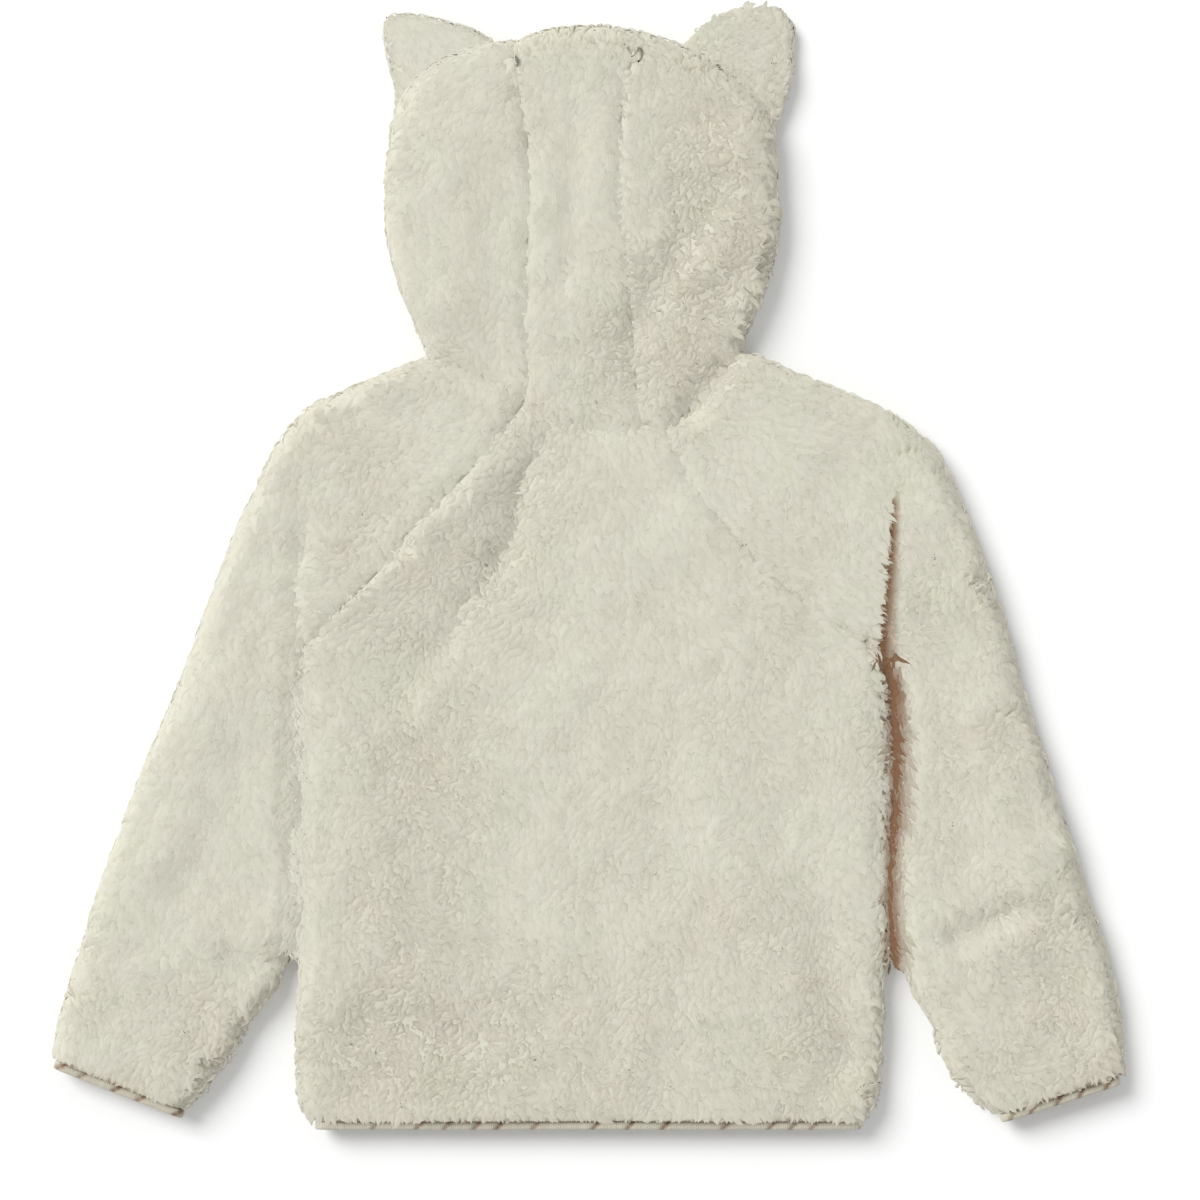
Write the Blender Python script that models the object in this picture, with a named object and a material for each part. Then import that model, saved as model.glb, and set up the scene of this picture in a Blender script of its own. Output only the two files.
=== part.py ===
"""A child's sherpa zip-up hoodie with two ears on its hood, laid on its front with the back up.

Metres, +Z up. It lies on z = 0 with the hood towards +Y and the wearer's left towards -X, and the
origin is under the middle of its outline. The tables and the sums are in millimetres, and a mesh
turns them into metres as it is made. The edges in the tables are where the pile ends.
"""

import bpy
import numpy as np

MM = 0.001

# The cloth and how its two layers lie
PILE_WALL = 10.0  # sherpa: knit backing and pile together
LAYER_GAP = 2.5  # air between the back and the front
LEAST_GAP = 1.0  # the same, under the deepest crease
FLAT_HEIGHT = 2 * PILE_WALL + LAYER_GAP
FOLD_RADIUS = FLAT_HEIGHT / 2
FOLD_HOLLOW = LAYER_GAP / 2
SEAM_GAP = 0.3
SEAM_SHIFT = 0.25  # each side of a slanting seam steps back this far along its rows
NECK_SHIFT = 0.4  # and each side of the neck seam this far along its columns
HOOD_SWELL = 1.5  # the hood is this much fuller than the body
SWELL_FROM, SWELL_TO = 112.0, 150.0

# Zip and bindings
ZIP_LINE = 0.0
ZIP_OPENING = 5.0  # from the zip's line to each front's edge
EDGE_WALL = 5.5  # the fronts are stitched down to this beside the zip
EDGE_FLAT, EDGE_SLOPE = 16.0, 27.0  # how far from the zip's line the thin edge reaches, and its slope
TAPE_INNER, TAPE_OUTER, TAPE_THICK = 3.3, 14.0, 0.7
CHAIN_HALF, CHAIN_THICK = 3.0, 2.3
CHIN_Y, HEM_Y = 74.0, -320.5
BOX_RISE, BOX_THICK = 2.5, 3.2  # the box at the zip's foot: how far above the hem it reaches
BINDING_WIDTH, BINDING_WALL = 5.2, 4.5
BINDING_INSET = 3.0  # the pile stands this far out past the binding at a fold
FACE_BINDING_Z = 3.8  # its under side round the face, clear of the pull

# How finely each piece is cut up
ARM_ROWS, RAGLAN_ROWS, HOOD_ROWS = 11, 8, 13
BACK_COLUMNS, FRONT_COLUMNS, SLEEVE_COLUMNS, UNDER_COLUMNS = 12, 4, 7, 4
SIDE_COLUMNS, CENTRE_COLUMNS = 8, 6
CHIN_ROWS, FACE_ROWS, FOREHEAD_ROWS = 2, 9, 2  # the rows of a hood side beside its face edge
ROLL = np.array([0.0, 1 / 3, 2 / 3])  # columns across the rolled edge of a body or sleeve
ROW_ROLL = np.array([1.0] * (ARM_ROWS + 1) + [0.45, 0.1] + [0.0] * (RAGLAN_ROWS - 2))  # how far it is rolled
TURN = np.linspace(0, np.pi, 6)[1:-1]  # columns round a fold

# Edges as they lie: x, y
BODY_LEFT = [
    (-163.0, -320.5), (-168.5, -312.0), (-170.5, -290.0), (-170.0, -230.0), (-168.5, -150.0),
    (-167.5, -90.0), (-166.0, -49.0),
]
BODY_RIGHT = [
    (161.0, -320.5), (167.0, -312.0), (169.5, -290.0), (172.0, -230.0), (171.0, -185.0), (172.5, -120.0),
    (171.0, -85.0), (170.5, -50.0),
]
RAGLAN_LEFT = [(-166.0, -49.0), (-144.5, -25.0), (-120.5, 0.0), (-98.5, 27.5), (-70.5, 54.5), (-37.0, 95.5)]
RAGLAN_RIGHT = [(170.5, -50.0), (130.0, -25.0), (99.0, 1.0), (75.0, 28.5), (56.0, 55.0), (44.0, 83.5)]
UNDER_RAGLAN_LEFT = [(-166.0, -49.0), (-132.0, -18.0), (-96.0, 22.0), (-56.0, 77.0)]
UNDER_RAGLAN_RIGHT = [(170.5, -50.0), (132.0, -20.0), (94.0, 22.0), (52.0, 79.0)]
ARM_INNER_LEFT = [
    (-231.5, -316.0), (-215.0, -295.0), (-197.5, -264.0), (-179.5, -240.5), (-173.5, -222.0),
    (-171.3, -150.0), (-170.0, -90.0), (-168.0, -49.5),
]
ARM_OUTER_LEFT = [
    (-312.5, -284.0), (-305.5, -252.0), (-285.0, -188.0), (-257.0, -111.5), (-236.0, -60.0),
    (-226.5, -33.5),
]
SHOULDER_LEFT = [
    (-226.5, -33.5), (-206.5, 19.0), (-189.0, 55.5), (-178.0, 76.5), (-163.5, 92.5), (-141.5, 103.0),
    (-93.0, 122.0),
]
ARM_INNER_RIGHT = [
    (234.0, -318.0), (214.0, -303.0), (197.5, -268.5), (182.5, -238.5), (176.5, -205.0), (176.5, -176.5),
    (178.5, -141.0), (179.5, -100.0), (178.0, -72.0), (172.5, -50.5),
]
ARM_OUTER_RIGHT = [
    (309.5, -293.5), (306.5, -252.0), (287.5, -186.0), (264.0, -111.5), (248.0, -60.0), (242.0, -38.0),
]
SHOULDER_RIGHT = [
    (242.0, -38.0), (227.0, 8.0), (213.5, 42.0), (199.0, 70.5), (187.0, 81.5), (169.0, 92.5),
    (129.0, 109.0), (86.0, 126.5),
]
BACK_NECK = [
    (-93.0, 122.0), (-72.0, 114.0), (-52.0, 105.5), (-37.0, 95.5), (-22.0, 86.0), (-8.0, 82.5),
    (10.0, 81.8), (29.0, 81.5), (44.0, 83.5), (57.0, 90.0), (69.0, 100.0), (78.0, 112.5), (86.0, 126.5),
]
NECK_LEFT_SEAM, NECK_RIGHT_SEAM, NECK_RIGHT_RAGLAN = (-37.0, 95.5), (29.0, 81.5), (44.0, 83.5)
FRONT_NECK_LEFT = [(-93.0, 122.0), (-75.0, 101.0), (-56.0, 77.0), (-32.0, 58.0), (-5.0, 46.0)]
FRONT_NECK_RIGHT = [(86.0, 126.5), (70.0, 101.0), (52.0, 79.0), (30.0, 58.0), (5.0, 46.0)]
HOOD_SEAM_LEFT = [
    (-37.0, 95.5), (-35.5, 130.0), (-36.0, 172.0), (-34.8, 227.0), (-36.0, 249.0), (-41.0, 275.0),
    (-43.0, 293.8),
]
HOOD_SEAM_RIGHT = [
    (29.0, 81.5), (25.5, 125.0), (22.5, 170.0), (16.5, 212.0), (18.0, 256.0), (22.5, 285.0), (27.5, 298.8),
]
HOOD_EDGE_LEFT = [
    (-93.0, 122.0), (-99.0, 137.0), (-107.0, 155.0), (-113.0, 173.0), (-117.5, 197.0), (-118.5, 219.0),
    (-117.0, 242.0), (-112.5, 264.0), (-103.0, 280.0), (-87.0, 292.5), (-66.5, 301.0), (-43.5, 306.0),
]
HOOD_EDGE_RIGHT = [
    (86.0, 126.5), (90.5, 138.0), (97.0, 153.0), (105.0, 173.0), (109.5, 196.0), (110.0, 219.0),
    (109.0, 242.0), (105.5, 260.5), (97.0, 273.0), (81.0, 286.0), (55.0, 301.5), (28.5, 311.0),
]
HOOD_CROWN = [(-43.5, 306.0), (-20.5, 312.5), (5.5, 314.0), (28.5, 311.0)]
FACE_EDGE_LEFT = [
    (-5.0, 46.0), (-5.0, 62.0), (-7.0, CHIN_Y), (-36.0, 102.0), (-56.0, 136.0), (-64.0, 173.0),
    (-61.0, 212.0), (-50.0, 246.0), (-39.0, 266.0), (-43.0, 293.8),
]
FACE_EDGE_RIGHT = [
    (5.0, 46.0), (5.0, 62.0), (7.0, CHIN_Y), (30.0, 100.0), (48.0, 135.0), (56.0, 172.0), (52.0, 212.0),
    (38.0, 246.0), (21.0, 268.0), (27.5, 298.8),
]

# Ears: the share of the hood's edge where the base starts and ends, the two sides and the thickness
EARS = {
    "ear_left": {
        "edge": HOOD_EDGE_LEFT,
        "base": (0.565, 0.965),
        "near_side": [(-113.5, 282.0), (-118.0, 299.0), (-120.0, 314.0)],
        "far_side": [(-64.0, 309.5), (-81.0, 316.0), (-101.0, 321.5)],
        "tip": (-115.0, 321.5),
        "thick": 18.0,
    },
    "ear_right": {
        "edge": HOOD_EDGE_RIGHT,
        "base": (0.555, 0.895),
        "near_side": [(115.5, 282.0), (117.5, 299.0), (118.5, 313.0)],
        "far_side": [(64.0, 311.5), (77.0, 320.0), (95.0, 325.5)],
        "tip": (110.0, 325.0),
        "thick": 17.0,
    },
}
EAR_ROUND = 14  # points round an ear's section

# The largest folds of the upper layer: name, from x, y, to x, y, half width, height
FOLDS = [
    ("left armpit", -168.0, -62.0, -165.0, 30.0, 7.0, -6.5),
    ("right armpit", 176.5, -62.0, 178.0, 42.0, 7.0, -8.0),
    ("drag line from the neck", -29.0, 70.0, -52.0, 4.0, 9.0, -2.8),
    ("its lower stretch", -52.0, 4.0, -110.0, -70.0, 12.0, -2.4),
    ("ridge beside it", -60.0, 56.0, -130.0, -20.0, 12.0, 2.4),
    ("left flank", -140.0, -100.0, -120.0, -190.0, 16.0, 2.0),
    ("left hip dent", -125.0, -262.0, -70.0, -268.0, 14.0, -2.6),
    ("lower back billow", -25.0, -215.0, 25.0, -290.0, 20.0, 2.0),
    ("right flank ridge", 70.0, -120.0, 118.0, -235.0, 18.0, 2.2),
    ("right hip dent", 132.0, -205.0, 150.0, -285.0, 11.0, -2.2),
    ("right shoulder blade", 60.0, 30.0, 110.0, -20.0, 16.0, 1.8),
    ("nape fold right", 56.0, 93.0, 87.0, 128.0, 7.0, -5.5),
    ("nape fold left", -95.0, 121.0, -58.0, 110.0, 6.0, -2.5),
    ("hood right panel", 78.0, 224.0, 24.0, 138.0, 10.0, -2.6),
    ("hood right billow", 66.0, 170.0, 88.0, 245.0, 16.0, 2.4),
    ("hood centre dent", -6.0, 262.0, -14.0, 168.0, 8.0, -1.8),
    ("hood left billow", -78.0, 160.0, -80.0, 250.0, 20.0, 2.2),
    ("right elbow crease", 212.0, -213.0, 248.0, -196.0, 7.0, -3.2),
    ("right sleeve ridge", 226.0, -90.0, 258.0, -190.0, 12.0, 2.4),
    ("right forearm dent", 262.0, -232.0, 290.0, -268.0, 10.0, -2.4),
    ("left sleeve ridge", -212.0, -60.0, -250.0, -170.0, 14.0, 2.2),
    ("left elbow crease", -176.0, -236.0, -208.0, -222.0, 7.0, -3.0),
]

# The slider, its bail and the pull: half widths and heights from the chain's middle
SLIDER_Y = 66.0
CHAIN_Z = EDGE_WALL + 2 * SEAM_GAP + TAPE_THICK / 2
PLATE_HALF, PLATE_LONG, PLATE_THICK, PLATE_OFF = 4.5, 10.0, 1.2, 1.65
POST_HALF, POST_FROM, POST_TO = 1.2, 1.0, 4.2
BAIL_HALF, BAIL_REACH, BAIL_BAR, BAIL_DROP = 0.9, 3.0, 0.8, 2.0
BITE = 0.4  # how far the post and the bail's legs run into what they join
PULL_HALF, PULL_LONG, PULL_THICK, PULL_CORNER, PULL_SLOT, PULL_ROOT = 2.9, 24.0, 1.2, 1.4, 1.3, 3.9
PULL_AXIS_Z = CHAIN_Z - PLATE_OFF - PLATE_THICK - BAIL_DROP / 2

LOOKS = {  # red, green, blue, roughness
    "sherpa": (0.66, 0.63, 0.52, 0.95),
    "binding": (0.68, 0.63, 0.50, 0.70),
    "zip_tape": (0.66, 0.61, 0.50, 0.85),
    "zip_teeth": (0.70, 0.66, 0.56, 0.45),
    "zip_metal": (0.68, 0.64, 0.55, 0.40),
}


def material(name):
    """A plain finish of its own for each kind of cloth or metal."""
    made = bpy.data.materials.get(name)
    if made is None:
        made = bpy.data.materials.new(name)
        made.use_nodes = True
        shader = made.node_tree.nodes["Principled BSDF"]
        *colour, rough = LOOKS[name]
        shader.inputs["Base Color"].default_value = (*colour, 1.0)
        shader.inputs["Roughness"].default_value = rough
    return made


def add_object(name, points, faces, finish):
    """One object from points in millimetres. A shape that came out inside out is turned round."""
    points, faces = np.asarray(points, float), [list(face) for face in faces]
    volume = 0.0
    for face in faces:
        first = points[face[0]]
        for k in range(1, len(face) - 1):
            volume += first @ np.cross(points[face[k]], points[face[k + 1]])
    if volume < 0:
        faces = [face[::-1] for face in faces]
    mesh = bpy.data.meshes.new(name)
    mesh.from_pydata((points * MM).tolist(), [], faces)
    mesh.validate()
    mesh.shade_smooth()
    mesh.set_sharp_from_angle(angle=np.radians(40))
    mesh.materials.append(material(finish))
    made = bpy.data.objects.new(name, mesh)
    bpy.context.scene.collection.objects.link(made)
    return made


def ease(share):
    share = np.clip(share, 0, 1)
    return share * share * (3 - 2 * share)


def curve(table, shares):
    """Points at these shares of the length of a smooth line through the table's points."""
    knots = np.array(table, float)
    step = np.linalg.norm(np.diff(knots, axis=0), axis=1)
    along = np.concatenate([[0], np.cumsum(step)])
    slopes = np.gradient(knots, along, axis=0)
    at = np.atleast_1d(shares) * along[-1]
    k = np.clip(np.searchsorted(along, at, side="right") - 1, 0, len(step) - 1)
    h = step[k][..., None]
    t = (at - along[k])[..., None] / h
    return (
        (2 * t**3 - 3 * t**2 + 1) * knots[k]
        + (t**3 - 2 * t**2 + t) * h * slopes[k]
        + (3 * t**2 - 2 * t**3) * knots[k + 1]
        + (t**3 - t**2) * h * slopes[k + 1]
    )


def share_at(table, point):
    """The share of a table's length at one of its own points."""
    knots = np.array(table, float)
    along = np.concatenate([[0], np.cumsum(np.linalg.norm(np.diff(knots, axis=0), axis=1))])
    return along[table.index(point)] / along[-1]


def top_height(plan):
    """How high the upper layer's pile stands over each point of the plan."""
    x, y = plan[..., 0], plan[..., 1]
    height = FLAT_HEIGHT + HOOD_SWELL * ease((y - SWELL_FROM) / (SWELL_TO - SWELL_FROM))
    for _, x0, y0, x1, y1, width, rise in FOLDS:
        along = np.array([x1 - x0, y1 - y0])
        share = ((x - x0) * along[0] + (y - y0) * along[1]) / (along @ along)
        near = np.clip(share, 0, 1)
        away = np.hypot(x - x0 - near * along[0], y - y0 - near * along[1])
        height = height + rise * np.exp(-((away / width) ** 2))
    return height


def upper_hollow(height):
    """The underside of the upper layer, which is pressed thinner under a deep crease."""
    return np.maximum(height - PILE_WALL, PILE_WALL + LEAST_GAP)


def lower_hollow(plan):
    """The upper side of the lower layer, thin where it is stitched down beside the zip."""
    x, y = plan[..., 0], plan[..., 1]
    beside = 1 - ease((np.abs(x - ZIP_LINE) - EDGE_FLAT) / (EDGE_SLOPE - EDGE_FLAT))
    below_chin = 1 - ease((y - CHIN_Y - 4) / 14)
    return PILE_WALL - (PILE_WALL - EDGE_WALL) * beside * below_chin


def grid(left, right, shares, bottom=None, top=None, reach=4):
    """Plan points from one edge's points to the other's, row by row.

    bottom and top are smooth lines that the first and last rows follow; the rows next to them follow
    them less and less, over reach rows.
    """
    rows = len(left)
    shares = np.broadcast_to(shares, (rows, np.shape(shares)[-1]))
    plan = left[:, None] + shares[..., None] * (right - left)[:, None]
    for line, away in ((bottom, np.arange(rows)), (top, np.arange(rows)[::-1])):
        if line is None:
            continue
        bow = curve(line, shares.ravel()).reshape(*shares.shape, 2)
        ends = curve(line, [0.0, 1.0])
        bow = bow - ends[0] - shares[..., None] * (ends[1] - ends[0])
        plan = plan + bow * ease(1 - away / reach)[:, None, None]
    return plan


def face_steps(face):
    """Shares of a face edge, a row of the hood each: up to the chin, up the opening, over the forehead."""
    chin, forehead = share_at(face, face[2]), share_at(face, face[-2])
    return np.concatenate([
        np.linspace(0, chin, CHIN_ROWS + 1)[:-1],
        np.linspace(chin, forehead, FACE_ROWS + 1),
        np.linspace(forehead, 1, FOREHEAD_ROWS + 1)[1:],
    ])


def cut_line(table, start, end, count=13):
    """The stretch of a line between two shares of its length, as a table of its own."""
    return [tuple(p) for p in curve(table, np.linspace(start, end, count))]


def stepped(points, towards, distance):
    """Points moved a distance towards others."""
    way = towards - points
    return points + way / np.linalg.norm(way, axis=-1, keepdims=True) * distance


def short_of_end(table, end):
    """The share of a line's length that is a fold's radius short of its end, which is 0 or 1."""
    short = FOLD_RADIUS / np.linalg.norm(np.diff(table, axis=0), axis=1).sum()
    return short if end == 0 else 1 - short


def edge_shares(width, columns):
    """Shares across a cloth: the rolled edge's columns first, then even ones up to its far end."""
    rolled = FOLD_RADIUS / width[:, None]
    even = np.linspace(0, 1, columns + 1)
    return np.concatenate([ROLL * rolled, rolled + even * (1 - rolled)], axis=1)


def rolled_plan(plan, roll, at_start):
    """Outer and inner plan points, and how flat each lies, where the edge rolls to the middle height."""
    order = slice(None) if at_start else slice(None, None, -1)
    flat = plan[:, order]
    inward = flat[:, len(ROLL)] - flat[:, 0]
    inward = inward / np.linalg.norm(inward, axis=-1, keepdims=True)
    angle = ROLL * np.pi / 2
    outer, inner, lying = flat.copy(), flat.copy(), np.ones(flat.shape[:2])
    k = len(ROLL)
    step = roll[:, None, None] * inward[:, None]
    outer[:, :k] += step * (FOLD_RADIUS * (1 - np.cos(angle) - ROLL))[None, :, None]
    inner[:, :k] += step * (FOLD_RADIUS * (1 - ROLL) - FOLD_HOLLOW * np.cos(angle))[None, :, None]
    lying[:, :k] = 1 - roll[:, None] * (1 - np.sin(angle))
    return outer[:, order], inner[:, order], lying[:, order]


def heights(plan, lying, upper):
    """Outer and inner heights of one layer. Where lying is 0 the cloth has rolled to the middle."""
    top = top_height(plan)
    hollow, under = upper_hollow(top), lower_hollow(plan)
    middle = (hollow + np.maximum(under, PILE_WALL)) / 2
    if upper:
        middle = middle + SEAM_GAP / 2
        return middle + (top - middle) * lying, middle + (hollow - middle) * lying
    middle = middle - SEAM_GAP / 2
    return middle * (1 - lying), middle + (under - middle) * lying


def stacked(plan, height):
    return np.concatenate([plan, height[..., None]], axis=-1)


def layer(plan, upper, roll_start=None, roll_end=None):
    """Outer and inner points of cloth in one layer, with either edge rolled or cut straight."""
    outer, inner, lying = plan, plan, np.ones(plan.shape[:2])
    if roll_start is not None:
        outer, inner, lying = rolled_plan(plan, roll_start, True)
    if roll_end is not None:
        outer_end, inner_end, lying_end = rolled_plan(plan, roll_end, False)
        outer, inner, lying = outer + outer_end - plan, inner + inner_end - plan, lying * lying_end
    z_outer, z_inner = heights(plan, lying, upper)
    return stacked(outer, z_outer), stacked(inner, z_inner)


def turn(fold, above, below):
    """Outer and inner points round a fold, from the upper layer's last points to the lower's first."""
    way_above, way_below = fold - above, fold - below
    outer, inner = [], []
    top = top_height(above)
    hollow, under = upper_hollow(top), lower_hollow(below)
    middle = (hollow + under) / 2
    for angle in TURN:
        way = way_above + (way_below - way_above) * angle / np.pi
        way = way / np.linalg.norm(way, axis=-1, keepdims=True)
        out, up = np.sin(angle), np.cos(angle)
        outer.append(stacked(
            fold - way * FOLD_RADIUS * (1 - out), middle + up * (top - middle if up > 0 else middle)))
        inner.append(stacked(
            fold - way * (FOLD_RADIUS - FOLD_HOLLOW * out),
            middle + up * (hollow - middle if up > 0 else middle - under)))
    return np.stack(outer, axis=1), np.stack(inner, axis=1)


def wrap(upper_plan, fold, lower_plan, roll=None):
    """Outer and inner points of cloth over the back, round a fold and under the front."""
    upper = layer(upper_plan, True, roll_start=roll)
    lower = layer(lower_plan, False, roll_end=roll)
    bend = turn(fold, upper_plan[:, -1], lower_plan[:, 0])
    return tuple(np.concatenate(parts, axis=1) for parts in zip(upper, bend, lower))


def quads(index):
    return np.stack([index[:-1, :-1], index[:-1, 1:], index[1:, 1:], index[1:, :-1]], axis=-1).reshape(-1, 4)


def add_wall(name, outer, inner, finish="sherpa"):
    """One closed wall of cloth between an outer and an inner grid of points."""
    rows, columns = outer.shape[:2]
    count = rows * columns
    index = np.arange(count).reshape(rows, columns)
    rim = np.concatenate([index[0, :-1], index[:-1, -1], index[-1, :0:-1], index[:0:-1, 0]])
    ahead = np.roll(rim, -1)
    low, high = np.minimum(rim, ahead), np.maximum(rim, ahead)
    cut = np.concatenate([[high, low, high + count], [low, low + count, high + count]], axis=1).T
    turned = np.tile(rim > ahead, 2)
    cut[turned] = cut[turned, ::-1]  # both sides of a seam are cut along the same diagonals
    faces = [*quads(index).tolist(), *quads(index + count)[:, ::-1].tolist(), *cut.tolist()]
    points = np.concatenate([outer.reshape(-1, 3), inner.reshape(-1, 3)])
    return add_object(name, points, faces, finish)


def body_rows(side, raglan):
    """An edge's points, a row each: up the side to the armpit, then along the raglan seam to the neck."""
    below = curve(side, np.linspace(0, 1, ARM_ROWS + 1))
    return np.concatenate([below[:-1], curve(raglan, np.linspace(0, 1, RAGLAN_ROWS + 1))])


def add_back():
    """The back, from one side seam to the other and up to the back neck."""
    left = body_rows(BODY_LEFT, RAGLAN_LEFT)
    right = body_rows(BODY_RIGHT, RAGLAN_RIGHT)
    left, right = stepped(left, right, SEAM_SHIFT), stepped(right, left, SEAM_SHIFT)
    width = np.linalg.norm(right - left, axis=1)
    rolled = FOLD_RADIUS / width[:, None]
    even = np.linspace(0, 1, BACK_COLUMNS + 1)
    shares = np.concatenate([
        ROLL * rolled, rolled + even * (1 - 2 * rolled), 1 - (ROLL * rolled)[:, ::-1]], axis=1)
    neck = cut_line(BACK_NECK, share_at(BACK_NECK, NECK_LEFT_SEAM), share_at(BACK_NECK, NECK_RIGHT_RAGLAN))
    plan = grid(left, right, shares, top=neck)
    plan[-1] = stepped(plan[-1], plan[-2], NECK_SHIFT)
    add_wall("back", *layer(plan, True, roll_start=ROW_ROLL, roll_end=ROW_ROLL))


def zip_edge(side):
    """The zip's edge of a front, a row each, from the hem to the neck."""
    neck_y = FRONT_NECK_LEFT[-1][1]
    y = np.linspace(HEM_Y, neck_y, ARM_ROWS + RAGLAN_ROWS + 1)
    return np.stack([np.full_like(y, ZIP_LINE + side * ZIP_OPENING), y], axis=1)


def add_front(name, side, body_edge, raglan, neck):
    """Half of the front, from the side seam to the edge that the zip is sewn to."""
    outer_edge = body_rows(body_edge, raglan)
    edge = zip_edge(side)
    outer_edge = stepped(outer_edge, edge, SEAM_SHIFT)
    width = np.linalg.norm(edge - outer_edge, axis=1)
    rolled = FOLD_RADIUS / width[:, None]
    beside = (EDGE_SLOPE - ZIP_OPENING) / width[:, None]
    even = np.linspace(0, 1, FRONT_COLUMNS + 1)
    near = np.array([1.0, (EDGE_FLAT - ZIP_OPENING) / (EDGE_SLOPE - ZIP_OPENING), 0.0])[1:]
    shares = np.concatenate([
        ROLL * rolled, rolled + even * (1 - rolled - beside), 1 - near * beside], axis=1)
    raglan_at = share_at(neck, neck[2])
    plan = grid(outer_edge, edge, shares, top=cut_line(neck, raglan_at, 1.0))
    plan[-1] = stepped(plan[-1], plan[-2], NECK_SHIFT)
    add_wall(name, *layer(plan, False, roll_start=ROW_ROLL))


def add_sleeve(name, inner, outer, shoulder, raglan, under_raglan, neck_start, neck_end, front_neck):
    """A sleeve from cuff to neck, one cloth folded along its outer edge, with its seam under the arm."""
    fold = body_rows(outer, shoulder)
    start, end = body_rows(inner, raglan), body_rows(inner, under_raglan)
    start[ARM_ROWS], end[ARM_ROWS] = inner[-1], inner[-1]
    start, end = stepped(start, fold, SEAM_SHIFT), stepped(end, fold, SEAM_SHIFT)
    above, below = stepped(fold, start, FOLD_RADIUS), stepped(fold, end, FOLD_RADIUS)
    neck = cut_line(BACK_NECK, neck_start, short_of_end(BACK_NECK, neck_end))
    throat = cut_line(front_neck, share_at(front_neck, front_neck[2]), short_of_end(front_neck, 0))
    above[-1], below[-1] = neck[-1], throat[-1]
    shares = edge_shares(np.linalg.norm(above - start, axis=1), SLEEVE_COLUMNS)
    upper = grid(start, above, shares, top=neck)
    shares = edge_shares(np.linalg.norm(below - end, axis=1), UNDER_COLUMNS)
    lower = grid(end, below, shares, top=throat)
    for points in (upper, lower, fold):
        points[-1] = stepped(points[-1], points[-2], NECK_SHIFT)
    add_wall(name, *wrap(upper, fold, lower[:, ::-1], roll=ROW_ROLL))


def add_hood_side(name, seam, edge, face, neck_seam, neck_side, front_neck):
    """Half of the hood, from the crown's seam round its folded edge to the face opening."""
    steps = np.linspace(0, 1, HOOD_ROWS + 1)
    start, fold, end = curve(seam, steps), curve(edge, steps), curve(face, face_steps(face))
    start, end = stepped(start, fold, SEAM_SHIFT), stepped(end, fold, SEAM_SHIFT)
    above, below = stepped(fold, start, FOLD_RADIUS), stepped(fold, end, FOLD_RADIUS)
    neck = cut_line(BACK_NECK, neck_seam, short_of_end(BACK_NECK, neck_side))
    throat = cut_line(front_neck, short_of_end(front_neck, 0), 1.0)
    above[0], below[0] = neck[-1], throat[0]
    upper = grid(start, above, np.linspace(0, 1, SIDE_COLUMNS + 1), bottom=neck, reach=3)
    beside = np.minimum((EDGE_SLOPE - ZIP_OPENING) / np.linalg.norm(end - below, axis=1)[:, None], 0.4)
    even = np.linspace(0, 1, SIDE_COLUMNS - 1)
    near = (EDGE_FLAT - ZIP_OPENING) / (EDGE_SLOPE - ZIP_OPENING) * beside
    shares = np.concatenate([even * (1 - beside), 1 - near, np.ones_like(near)], axis=1)
    lower = grid(below, end, shares, bottom=throat, reach=2)
    for points in (upper, lower, fold):
        points[0] = stepped(points[0], points[1], NECK_SHIFT)
    add_wall(name, *wrap(upper, fold, lower))


def add_hood_centre():
    """The hood's middle strip, from the nape over the crown to the forehead."""
    steps = np.linspace(0, 1, HOOD_ROWS + 1)
    left, right = curve(HOOD_SEAM_LEFT, steps), curve(HOOD_SEAM_RIGHT, steps)
    left, right = stepped(left, right, SEAM_SHIFT), stepped(right, left, SEAM_SHIFT)
    across = np.linspace(0, 1, CENTRE_COLUMNS + 1)
    nape = cut_line(BACK_NECK, share_at(BACK_NECK, NECK_LEFT_SEAM), share_at(BACK_NECK, NECK_RIGHT_SEAM))
    upper = grid(left, right, across, bottom=nape, top=HOOD_CROWN)
    upper[0] = stepped(upper[0], upper[1], NECK_SHIFT)
    fold = curve(HOOD_CROWN, across)
    fold[0, 0] += SEAM_SHIFT
    fold[-1, 0] -= SEAM_SHIFT
    low_left, low_right = (
        curve(face, face_steps(face)[:-2 - FOREHEAD_ROWS:-1]) for face in (FACE_EDGE_LEFT, FACE_EDGE_RIGHT))
    low_left, low_right = stepped(low_left, low_right, SEAM_SHIFT), stepped(low_right, low_left, SEAM_SHIFT)
    lower = grid(low_left, low_right, across, bottom=HOOD_CROWN)
    add_wall("hood_centre", *wrap(upper.transpose(1, 0, 2), fold, lower.transpose(1, 0, 2)))


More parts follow.
